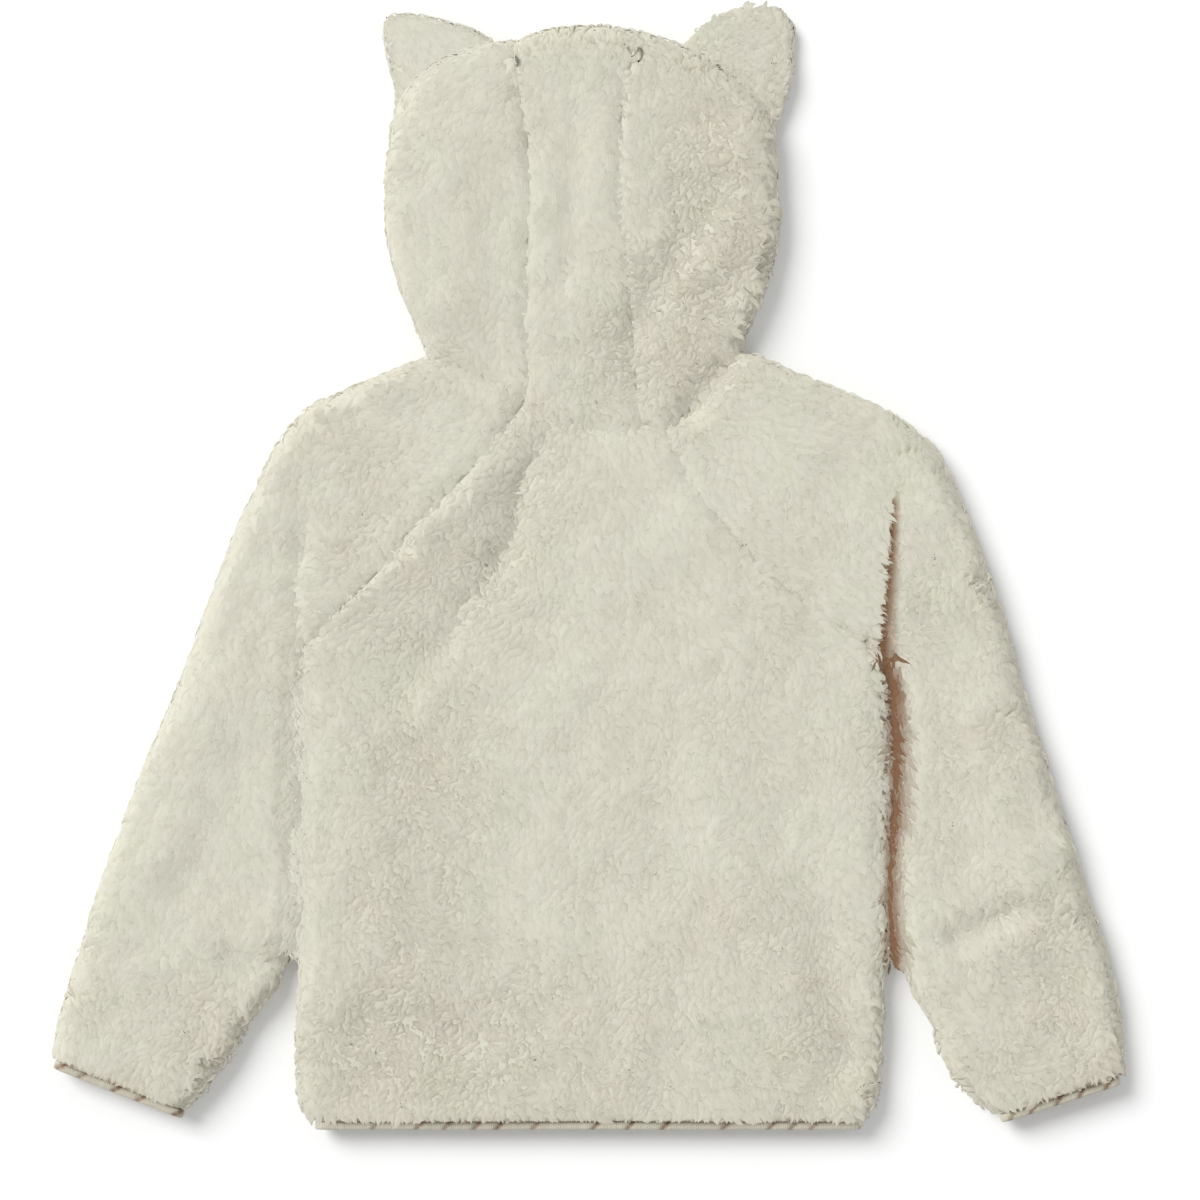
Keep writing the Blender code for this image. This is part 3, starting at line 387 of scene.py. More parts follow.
def turn(fold, above, below):
    # round the fold: x = fold - r (1 - sin a), z = middle + cos a (height - middle)
    wayAbove, wayBelow = fold - above, fold - below
    top = topHeight(above)
    hollow, under = upperHollow(top), lowerHollow(below)
    middle = (hollow + under) / 2
    outer, inner = [], []
    for angle in turnAngles:
        way = unit(wayAbove + (wayBelow - wayAbove) * angle / np.pi)
        out, up = np.sin(angle), np.cos(angle)
        zOuter = middle + up * (top - middle if up > 0 else middle)
        zInner = middle + up * (hollow - middle if up > 0 else middle - under)
        outer.append(np.column_stack([fold - way * foldRadius * (1 - out), zOuter]))
        inner.append(np.column_stack([fold - way * (foldRadius - foldHollow * out), zInner]))
    return np.stack(outer, axis=1), np.stack(inner, axis=1)


def wrap(upperPlan, fold, lowerPlan, roll=None):  # upper layer, fold and lower layer as one grid
    upper = layer(upperPlan, True, rollStart=roll)
    lower = layer(lowerPlan, False, rollEnd=roll)
    bend = turn(fold, upperPlan[:, -1], lowerPlan[:, 0])
    return tuple(np.concatenate(parts, axis=1) for parts in zip(upper, bend, lower))


def bodyRows(side, raglan):  # an edge's points, up the side and then up the raglan
    below = curve(side, np.linspace(0, 1, fine["arm"] + 1))
    return np.concatenate([below[:-1], curve(raglan, np.linspace(0, 1, fine["raglan"] + 1))])


def rollOfRows():  # 1 up to the armpit, then the roll fades out
    aboveArm = np.linspace(0, 1, fine["raglan"])
    return np.concatenate([np.ones(fine["arm"] + 1), ease(1 - aboveArm * 11 - 0.25)])


# ---- the panels: each returns its outer and inner points, rows from its lower edge up

# where seams meet the back of the neck, as shares of its length
atLeft, atRightSeam, atRight = (
    shareAt(cut["backNeck"], cut[name]) for name in ("neckLeftSeam", "neckRightSeam", "neckRightRaglan"))


def apart(left, right):  # two edges, each stepped towards the other by the seam's gap
    return stepped(left, right, cloth["seamShift"]), stepped(right, left, cloth["seamShift"])


def rolledShares(width, even):  # shares across: a quarter circle at the edge, then even steps
    rolled = foldRadius / width[:, None]
    return np.concatenate([rolledEdge * rolled, rolled + even * (1 - rolled)], axis=1)


def backPanel():  # between both raglans, rolled at both side seams
    left = bodyRows(cut["bodyLeft"], cut["raglanLeft"])
    right = bodyRows(cut["bodyRight"], cut["raglanRight"])
    left, right = apart(left, right)
    rolled = foldRadius / np.linalg.norm(right - left, axis=1)[:, None]
    even = np.linspace(0, 1, fine["back"] + 1)
    shares = np.concatenate(
        [rolledEdge * rolled, rolled + even * (1 - 2 * rolled), 1 - (rolledEdge * rolled)[:, ::-1]], axis=1)
    plan = grid(left, right, shares, top=cutLine(cut["backNeck"], atLeft, atRight))
    plan[-1] = stepped(plan[-1], plan[-2], cloth["neckShift"])
    return layer(plan, True, rollStart=rollOfRows(), rollEnd=rollOfRows())


def frontPanel(side, bodyEdge, raglan, neck):
    # from the side seam to a straight edge beside the zip
    outerEdge = bodyRows(bodyEdge, raglan)
    y = np.linspace(cloth["hemY"], neck[-1][1], len(outerEdge))
    edge = np.stack([np.full_like(y, side * cloth["zipOpening"]), y], axis=1)
    outerEdge = stepped(outerEdge, edge, cloth["seamShift"])
    shares = rolledShares(np.linalg.norm(edge - outerEdge, axis=1), np.linspace(0, 1, fine["front"] + 1))
    plan = grid(outerEdge, edge, shares, top=cutLine(neck, shareAt(neck, neck[2]), 1.0))
    plan[-1] = stepped(plan[-1], plan[-2], cloth["neckShift"])
    return layer(plan, False, rollStart=rollOfRows())


def sleevePanel(inner, outer, shoulder, raglan, underRaglan, neckStart, neckEnd, frontNeck):
    # from the raglan round the fold and back under the arm
    fold = bodyRows(outer, shoulder)
    start, end = bodyRows(inner, raglan), bodyRows(inner, underRaglan)
    start[fine["arm"]], end[fine["arm"]] = inner[-1], inner[-1]
    start, end = stepped(start, fold, cloth["seamShift"]), stepped(end, fold, cloth["seamShift"])
    above, below = stepped(fold, start, foldRadius), stepped(fold, end, foldRadius)
    neck = cutLine(cut["backNeck"], neckStart, shortOfEnd(cut["backNeck"], neckEnd))
    throat = cutLine(frontNeck, shareAt(frontNeck, frontNeck[2]), shortOfEnd(frontNeck, 0))
    above[-1], below[-1] = neck[-1], throat[-1]
    shares = rolledShares(np.linalg.norm(above - start, axis=1), np.linspace(0, 1, fine["sleeve"] + 1))
    upper = grid(start, above, shares, top=neck)
    shares = rolledShares(np.linalg.norm(below - end, axis=1), np.linspace(0, 1, fine["under"] + 1))
    lower = grid(end, below, shares, top=throat)
    for points in (upper, lower, fold):
        points[-1] = stepped(points[-1], points[-2], cloth["neckShift"])
    return wrap(upper, fold, lower[:, ::-1], roll=rollOfRows())


def faceSteps(face):  # shares along the face's edge, closer at the chin and the forehead
    chin, forehead = shareAt(face, face[2]), shareAt(face, face[-2])
    faceRows = fine["hood"] - fine["chin"] - fine["forehead"]
    return np.concatenate([
        np.linspace(0, chin, fine["chin"] + 1)[:-1],
        np.linspace(chin, forehead, faceRows + 1),
        np.linspace(forehead, 1, fine["forehead"] + 1)[1:],
    ])


def hoodSidePanel(seam, edge, face, neckSeam, neckSide, frontNeck):
    # from the hood's seam round the fold to the face opening
    steps = np.linspace(0, 1, fine["hood"] + 1)
    start, fold, end = curve(seam, steps), curve(edge, steps), curve(face, faceSteps(face))
    start, end = stepped(start, fold, cloth["seamShift"]), stepped(end, fold, cloth["seamShift"])
    above, below = stepped(fold, start, foldRadius), stepped(fold, end, foldRadius)
    neck = cutLine(cut["backNeck"], neckSeam, shortOfEnd(cut["backNeck"], neckSide))
    throat = cutLine(frontNeck, shortOfEnd(frontNeck, 0), 1.0)
    above[0], below[0] = neck[-1], throat[0]
    across = np.linspace(0, 1, fine["side"] + 1)
    upper = grid(start, above, across, bottom=neck, reach=0.24)
    lower = grid(below, end, across, bottom=throat, reach=0.16)
    for points in (upper, lower, fold):
        points[0] = stepped(points[0], points[1], cloth["neckShift"])
    return wrap(upper, fold, lower)


def hoodCentrePanel():  # between both seams, from the nape over the crown to the forehead
    steps = np.linspace(0, 1, fine["hood"] + 1)
    left, right = curve(cut["hoodSeamLeft"], steps), curve(cut["hoodSeamRight"], steps)
    left, right = apart(left, right)
    across = np.linspace(0, 1, fine["centre"] + 1)
    nape = cutLine(cut["backNeck"], atLeft, atRightSeam)
    upper = grid(left, right, across, bottom=nape, top=cut["hoodCrown"])
    upper[0] = stepped(upper[0], upper[1], cloth["neckShift"])
    fold = curve(cut["hoodCrown"], across)
    back = slice(None, -2 - fine["forehead"], -1)
    faces = (cut["faceEdgeLeft"], cut["faceEdgeRight"])
    lowLeft, lowRight = apart(*(curve(face, faceSteps(face)[back]) for face in faces))
    lower = grid(lowLeft, lowRight, across, bottom=cut["hoodCrown"], reach=1.0)
    return wrap(upper.transpose(1, 0, 2), fold, lower.transpose(1, 0, 2))


# ---- from grids to cloth and pile

pile = {
    "depth": (1.7, 3.1),  # how far it stands out from its ground on the upper side, combed and curled
    "under": 1.1,  # and where it is pressed on the floor
    "clear": 0.12,  # no lock lies lower than this over the floor
    "swing": (11.0, 78.0),  # degrees off the nap, combed and curled
    "swirl": 15.0,  # size of the patches that lie one way
    "overhang": {"seam": 3.0, "neck": 6.0, "mouth": -0.6, "bound": 1.0, "zip": 0.0, "open": 6.0},
    "softness": (0.97, 0.70),  # how much of its light a lock takes as its ground would, combed and curled
}
# Broad tufts make the surface and thin wisps stand out of it
tuft = {
    "spacing": 3.8, "underShare": 0.40, "length": (8.5, 15.0), "width": (3.7, 6.0), "flatten": 0.30,
    "rise": 0.94, "spread": 0.22, "sway": 1.0,
}
wisp = {
    "spacing": 5.4, "underShare": 0.12, "length": (5.0, 9.5), "width": (1.5, 2.7), "flatten": 0.42,
    "rise": 1.08, "spread": 0.36, "sway": 1.4,
}
seam = {"dip": 1.3, "width": 3.4, "meet": 0.8}
# Narrow creases: x, y, to x, y, half width on the left of that way, and on its right, depth
creases = [
    (-166, -49, -165.5, 32, 2.4, 3.0, 1.0),
    (-29, 72, -47, 14, 2.6, 2.6, 1.4), (-52, 4, -84, -46, 3.0, 3.0, 1.0), (60, 96, 84, 126, 3.2, 3.2, 2.0),
    (-60, 111, -90, 121, 3.0, 3.0, 1.2), (208, -211, 240, -198, 3.0, 3.0, 1.2),
    (-178, -235, -202, -225, 3.0, 3.0, 1.2),
]
# Softer ones on the side that lies on the floor, in the same columns
underCreases = [
    (-60, 30, -140, -90, 9, 9, 1.1), (-40, -150, -95, -240, 11, 11, 1.0), (55, -60, 120, -150, 10, 10, 1.1),
    (90, -210, 60, -300, 9, 9, 0.9), (-225, -90, -205, -190, 7, 7, 0.9), (240, -130, 225, -230, 8, 8, 1.0),
    (-80, 150, -90, 220, 8, 8, 1.0), (75, 160, 85, 230, 8, 8, 0.9),
]
# Where body and sleeve face each other: from y, to y, from x, to x, how much fuller body and
# sleeve are there, and how much brown painted shade darkens the depths on each
armGaps = [
    (-232, -38, 160, 196, 1.8, 3.4, 0.9, 1.0),
    (-224, -38, -190, -154, 5.2, 5.2, 0.0, 0.1),
]
# Where the pile of two pieces has grown together: x, y, to x, y, half width, how far it fills the dip
joined = [(-113.5, 284, -64, 309.5, 11, 4.5), (115.5, 284, 64, 311.5, 11, 4.5)]
# The slit above the right armpit: y, x of its left edge, how far its brown painted shade reaches to the
# right
slit = [
    (-94, 172.8, 10.5), (-80, 172.5, 12.0), (-66, 171.6, 12.0), (-60, 168.2, 11.5), (-54, 165.8, 13.0),
    (-48, 166.6, 12.5), (-26, 168.8, 10.0), (0, 172.0, 7.6), (24, 173.6, 6.0), (48, 175.4, 4.0),
]
slitDepth = 6.5
# Where seams run together and the dips beside them are shut: x, y
shutAt = [(-166, -49), (170.5, -50), (-44, 295), (27.5, 299), (-86, 118), (-72, 113), (81, 118), (73, 106)]


def running(points, axis):  # length along a grid one way, from its first point
    step = np.linalg.norm(np.diff(points, axis=axis), axis=-1)
    start = np.zeros_like(np.take(step, [0], axis=axis))
    return np.concatenate([start, np.cumsum(step, axis=axis)], axis=axis)


def troughs(table, x, y):  # the sum of each crease's depth times exp(-(distance / half width)^2)
    depth = np.zeros_like(x)
    for x0, y0, x1, y1, onLeft, onRight, deep in table:
        dx, dy = x1 - x0, y1 - y0
        share = ((x - x0) * dx + (y - y0) * dy) / (dx * dx + dy * dy)
        near = np.clip(share, 0, 1)
        width = np.where((x - x0) * dy - (y - y0) * dx > 0, onRight, onLeft)
        fade = 0.55 + 0.45 * np.sin(np.pi * np.clip(share * 0.9 + 0.05, 0, 1))
        away2 = (x - x0 - near * dx) ** 2 + (y - y0 - near * dy) ** 2
        depth = depth + deep * fade * np.exp(-(away2 / width**2))
    return depth


def shutting(x, y):  # 1 where seams run together, fading out round it
    return np.clip(sum(np.exp(-((x - x0) ** 2 + (y - y0) ** 2) / 13.0**2) for x0, y0 in shutAt), 0, 1)


def besideArm(x, y, sideways, facing):
    # how full the pile is, and how much brown painted shade it gets, where body and sleeve face each other
    # below the armpit
    near, full, paintedShade = np.zeros_like(x), np.zeros_like(x), np.zeros_like(x)
    for y0, y1, x0, x1, bodyFull, armFull, bodyPaintedShade, armPaintedShade in armGaps:
        inside = ease((y - y0) / 8) * ease((y1 - y) / 6) * ((x > x0) & (x < x1)) * (np.abs(sideways) > 0.12)
        onBody = sideways * x > 0
        edge = np.where(onBody, ease((0.7 - facing) / 0.5), ease((0.88 - facing) / 0.45))
        near, full = near + inside, full + inside * np.where(onBody, bodyFull, armFull)
        paintedShade = paintedShade + inside * edge * np.where(onBody, bodyPaintedShade, armPaintedShade)
    return near, full, paintedShade


def joinedAt(x, y):  # 1 where two pieces' pile has grown together, and how far it fills the dip
    share = np.stack([troughs([(*row[:4], row[4], row[4], 1.0)], x, y) for row in joined])
    return np.clip(share.sum(axis=0), 0, 1), sum(part * row[5] for part, row in zip(share, joined))


def slitAt(x, y):
    # distance to the right of the slit's left edge, how far it reaches there, 1 along it and 0 past its ends
    levels, edges, reach = (np.array([row[k] for row in slit], float) for k in range(3))
    along = ease((y - levels[0] - 2) / 10) * ease((levels[-1] - y) / 16)
    return x - np.interp(y, levels, edges), np.interp(y, levels, reach), along


def slitDip(x, y):
    # steep on its left and rising slowly on its right: depth x (1 - away / (1.15 reach))^1.5
    away, reach, along = slitAt(x, y)
    side = np.where(away > 0, np.clip(1 - away / (1.15 * reach), 0, 1) ** 1.5, np.exp(-((away / 0.8) ** 2)))
    return slitDepth * along * side * ease(reach / 7)


def slitShade(x, y):  # brown painted shade down its right side: 1.35 (1 - away / reach)^0.8
    away, reach, along = slitAt(x, y)
    return along * np.where(away > -0.4, 1.35 * np.clip(1 - away / reach, 0, 1) ** 0.8, 0)


def slitLean(x, y):  # the pile on the slit's left leans over it
    away, _, along = slitAt(x, y)
    return along * ((away < 0) & (away > -5.0))


def clothFrom(outer, inner, edges, napDown=0, thick=None):
    # the ground lies under the pile: outer point - normal x (pile + seam dip + crease - billow)
    away = outer - inner
    rowWay, columnWay = np.gradient(outer, axis=0), np.gradient(outer, axis=1)
    normal = unit(np.cross(columnWay, rowWay))
    normal = normal if (normal * away).sum() > 0 else -normal
    thick = np.linalg.norm(away, axis=-1) if thick is None else thick
    alongRows, alongColumns = running(outer, 0), running(outer, 1)
    gaps = [alongRows, alongRows[-1:] - alongRows, alongColumns, alongColumns[:, -1:] - alongColumns]
    x, y = outer[..., 0], outer[..., 1]
    facing, curl = normal[..., 2], curlAt(x, y)
    deep = span(pile["depth"], curl)
    deep = deep + (deep - pile["under"]) * np.minimum(facing, 0)
    sewn = [gap for gap, kind in zip(gaps, edges) if kind in ("seam", "neck")]
    dip = sum(seam["dip"] * np.exp(-((gap / seam["width"]) ** 2)) for gap in sewn) if sewn else 0 * x
    crease = troughs(creases, x, y) * ease(facing * 2)
    crease = crease + troughs(underCreases, x, y) * ease(-facing * 2 - 0.8)
    billow = 1.8 * (noise(x, y, 34, 11) - 0.5) + (1.0 + 0.8 * curl) * (noise(x, y, 12, 12) - 0.5)
    down = deep * (1 - 0.7 * ease(1 - np.abs(facing) * 1.6))
    down = down + (dip + crease - billow * np.where(facing > 0, 1, 0.3)) * np.where(facing > -0.4, 1, 0.6)
    near, full, paintedShade = besideArm(x, y, normal[..., 0], facing)
    bridge = near * ease((0.96 - facing) * 2.6)
    grown, fill = joinedAt(x, y)
    grown = grown * (facing > -0.35)
    down = down - full * ease((0.8 - facing) * 2.2)
    shut = shutting(x, y) * (facing > 0.05)
    into = unit(normal + np.array([0, 0, 4.0]) * shut[..., None])
    ground = outer - into * np.minimum(down * (1 - 0.35 * shut), 0.66 * thick)[..., None]
    ground[..., 2] = np.maximum(ground[..., 2] + fill * (1 - facing) * (facing > -0.35), 0.5)
    # sewn edges reach out to meet their neighbour's: the first and last rows, then the columns
    for kinds, points, shutHere in ((edges[:2], ground, shut), (edges[2:], ground.swapaxes(0, 1), shut.T)):
        for kind, edge, beyond in zip(kinds, (0, -1), (1, -2)):
            if kind in ("seam", "neck"):
                meet = seam["meet"] * (1 + 1.5 * shutHere[edge])[:, None]
                points[edge] += unit(points[edge] - points[beyond]) * meet
    groundNormal = unit(np.cross(np.gradient(ground, axis=1), np.gradient(ground, axis=0)))
    groundNormal = groundNormal if (groundNormal * away).sum() > 0 else -groundNormal
    ground = ground - normal * (slitDip(x, y) * ease(facing * 2))[..., None]
    lean = slitLean(x, y) * (facing > 0)
    light = groundNormal.copy()
    light[..., 2] += 2.4 * bridge + 2.0 * grown + 1.5 * shut
    # painted shade: shadows of puckers in a band along each mouth, and the pile beside each mouth a little
    # darker
    puckerShadow = ease((noise(x, y, 8, 14) - 0.46) * 5) * (0.4 + 0.6 * noise(x, y, 40, 15))
    mouthShadowBands = [np.exp(-((gap / 2.0) ** 2)) for gap, kind in zip(gaps, edges) if kind == "mouth"]
    # painted shade: brown down the slit
    paintedShade = paintedShade + slitShade(x, y) * ease(facing * 2)
    beside = sum(np.exp(-gap / 6) for gap, kind in zip(gaps, edges) if kind == "mouth")
    paintedShade = paintedShade + (sum(mouthShadowBands) * 0.65 * puckerShadow + beside * 0.16) * ease(facing * 3)
    nap = unit(-rowWay if napDown == 0 else -columnWay)
    nap[..., 0] += 1.6 * lean
    return {
        "outer": outer, "inner": inner, "ground": ground, "normal": normal,
        "deep": np.minimum(deep, 0.8 * thick), "curl": curl, "gaps": gaps, "edges": edges,
        "rowWay": unit(rowWay), "columnWay": unit(columnWay), "nap": unit(nap), "hollow": crease + dip,
        "light": unit(light), "paintedShade": np.clip(paintedShade, 0, 1), "bridge": np.clip(bridge + 0.6 * grown, 0, 1),
        "rowBend": bending(normal, outer, 0), "columnBend": bending(normal, outer, 1),
    }


def bending(normal, outer, axis):
    # how fast the surface turns away along a grid one way: one over the radius
    step = np.gradient(outer, axis=axis)
    turned = (np.gradient(normal, axis=axis) * step).sum(axis=-1)
    return np.clip(turned / np.maximum((step**2).sum(axis=-1), 0.25), -0.02, 0.12)


def meshOf(name, points, faceSets, materials, smooth=True):
    # faceSets holds (corner numbers, material number, corner uv or None) for faces of one kind
    data = bpy.data.meshes.new(name)
    corners = np.concatenate([faces.ravel() for faces, _, _ in faceSets]).astype(np.int32)
    sizes = np.concatenate([np.full(len(faces), faces.shape[1]) for faces, _, _ in faceSets])
    finish = np.concatenate([np.full(len(faces), kind) for faces, kind, _ in faceSets]).astype(np.int32)
    data.vertices.add(len(points))
    data.vertices.foreach_set("co", (np.asarray(points, float) * mm).ravel().astype(np.float32))
    data.loops.add(len(corners))
    data.loops.foreach_set("vertex_index", corners)
    data.polygons.add(len(sizes))
    data.polygons.foreach_set("loop_start", (np.cumsum(sizes) - sizes).astype(np.int32))
    data.polygons.foreach_set("material_index", finish)
    data.polygons.foreach_set("use_smooth", np.full(len(sizes), smooth))
    if any(uv is not None for _, _, uv in faceSets):
        layerUv = data.uv_layers.new(name="lay")
        spread = [
            np.zeros((faces.size, 2)) if uv is None else uv.reshape(-1, 2) for faces, _, uv in faceSets]
        layerUv.data.foreach_set("uv", np.concatenate(spread).astype(np.float32).ravel())
    data.update(calc_edges=True)
    data.validate()
    for material in materials:
        data.materials.append(material)
    made = bpy.data.objects.new(name, data)
    bpy.context.scene.collection.objects.link(made)
    return made


def setAttribute(piece, name, values):  # one number for each point, for the finishes to read
    attribute = piece.data.attributes.new(name, "FLOAT", "POINT")
    attribute.data.foreach_set("value", values.astype(np.float32).ravel())


def cellCorners(values):  # the four corners of each of a grid's cells, in order round it
    return np.stack([values[:-1, :-1], values[:-1, 1:], values[1:, 1:], values[1:, :-1]], axis=2)


def quadsOf(index):  # a grid's faces, four corner numbers each
    return cellCorners(index).reshape(-1, 4)


def outwards(points, faceSets):  # turns every face round if the closed mesh came out inside out
    volume = 0.0
    for faces, _, _ in faceSets:
        for k in range(1, faces.shape[1] - 1):
            a, b, c = points[faces[:, 0]], points[faces[:, k]], points[faces[:, k + 1]]
            volume += (a * np.cross(b, c)).sum()
    if volume > 0:
        return faceSets
    return [(faces[:, ::-1], kind, None if uv is None else uv[:, ::-1]) for faces, kind, uv in faceSets]


def gridUv(rows, columns, along, across):  # the lie of the cloth, in millimetres, at each face's corners
    both = [np.broadcast_to(values, (rows, columns)) for values in (across, along)]
    return cellCorners(np.stack(both, axis=-1)).reshape(-1, 4, 2)


def wallPiece(name, cloth, materials):
    # one closed wall: the ground outside, the knit backing inside and round the rims
    outer, inner = cloth["ground"], cloth["inner"]
    rows, columns = outer.shape[:2]
    index = np.arange(rows * columns).reshape(rows, columns)
    rim = np.concatenate([index[0, :-1], index[:-1, -1], index[-1, :0:-1], index[:0:-1, 0]])
    ahead = np.roll(rim, -1)
    count = rows * columns
    points = np.concatenate([outer.reshape(-1, 3), inner.reshape(-1, 3)])
    uv = gridUv(rows, columns, running(cloth["inner"], 0), running(cloth["inner"], 1))
    faceSets = [
        (quadsOf(index), 0, uv),
        (quadsOf(index + count)[:, ::-1], 1, uv[:, ::-1]),
        (np.stack([ahead, rim, rim + count, ahead + count], axis=1), 0, None),
    ]
    return meshOf(name, points, outwards(points, faceSets), materials)


def blendAt(values, i, j, u, v):  # a grid's values inside its cells
    spare = (slice(None),) + (None,) * (values.ndim - 2)
    u, v = u[spare], v[spare]
    low = values[i, j] * (1 - u) + values[i, j + 1] * u
    high = values[i + 1, j] * (1 - u) + values[i + 1, j + 1] * u
    return low * (1 - v) + high * v


def lockRoots(cloth, kind, seed):
    # a root each time the summed area of the cells, walked row by row, passes the spacing squared
    ground = cloth["ground"]
    a, b = ground[1:, 1:] - ground[:-1, :-1], ground[1:, :-1] - ground[:-1, 1:]
    area = 0.5 * np.linalg.norm(np.cross(a, b), axis=-1)
    facing = cloth["normal"][:-1, :-1, 2]
    share = np.where(facing < -0.5, kind["underShare"], 1.0) + 0.9 * cloth["bridge"][:-1, :-1]
    wanted = (area * share / kind["spacing"] ** 2).ravel()
    total = np.cumsum(wanted)
    draw = np.random.RandomState(seed)
    at = np.arange(int(total[-1])) + 0.15 + 0.7 * draw.rand(int(total[-1]))
    cell = np.minimum(np.searchsorted(total, at), len(total) - 1)
    u = np.clip((at - total[cell] + wanted[cell]) / wanted[cell], 0, 1)
    i, j = np.divmod(cell, area.shape[1])
    return i, j, u, draw.rand(len(cell)), draw


lockRings = np.array([0.0, 0.26, 0.52, 0.78, 1.0])  # shares of a lock's length, the last its tip
lockProfile = np.array([0.72, 1.0, 0.88, 0.58])  # shares of its width at the rings before the tip
lockSides = 3


def lockTemplate():
    # three-sided rings, a root cap and a tip, with how far round and along each corner is
    rings, faces, uvs = len(lockProfile), [], []
    for k in range(rings - 1):
        for n in range(lockSides):
            m = (n + 1) % lockSides
            a, b = k * lockSides, (k + 1) * lockSides
            for tri, uv in (
                ((a + n, a + m, b + m), ((n, k), (n + 1, k), (n + 1, k + 1))),
                ((a + n, b + m, b + n), ((n, k), (n + 1, k + 1), (n, k + 1))),
            ):
                faces.append(tri)
                uvs.append(uv)
    last, tip = (rings - 1) * lockSides, rings * lockSides
    for n in range(lockSides):
        faces.append((last + n, last + (n + 1) % lockSides, tip))
        uvs.append(((n, rings - 1), (n + 1, rings - 1), (n + 0.5, rings)))
    faces.append(tuple(range(lockSides))[::-1])
    uvs.append(((0, 0), (0, 0), (0, 0)))
    return np.array(faces), np.array(uvs, float) / (lockSides, rings)


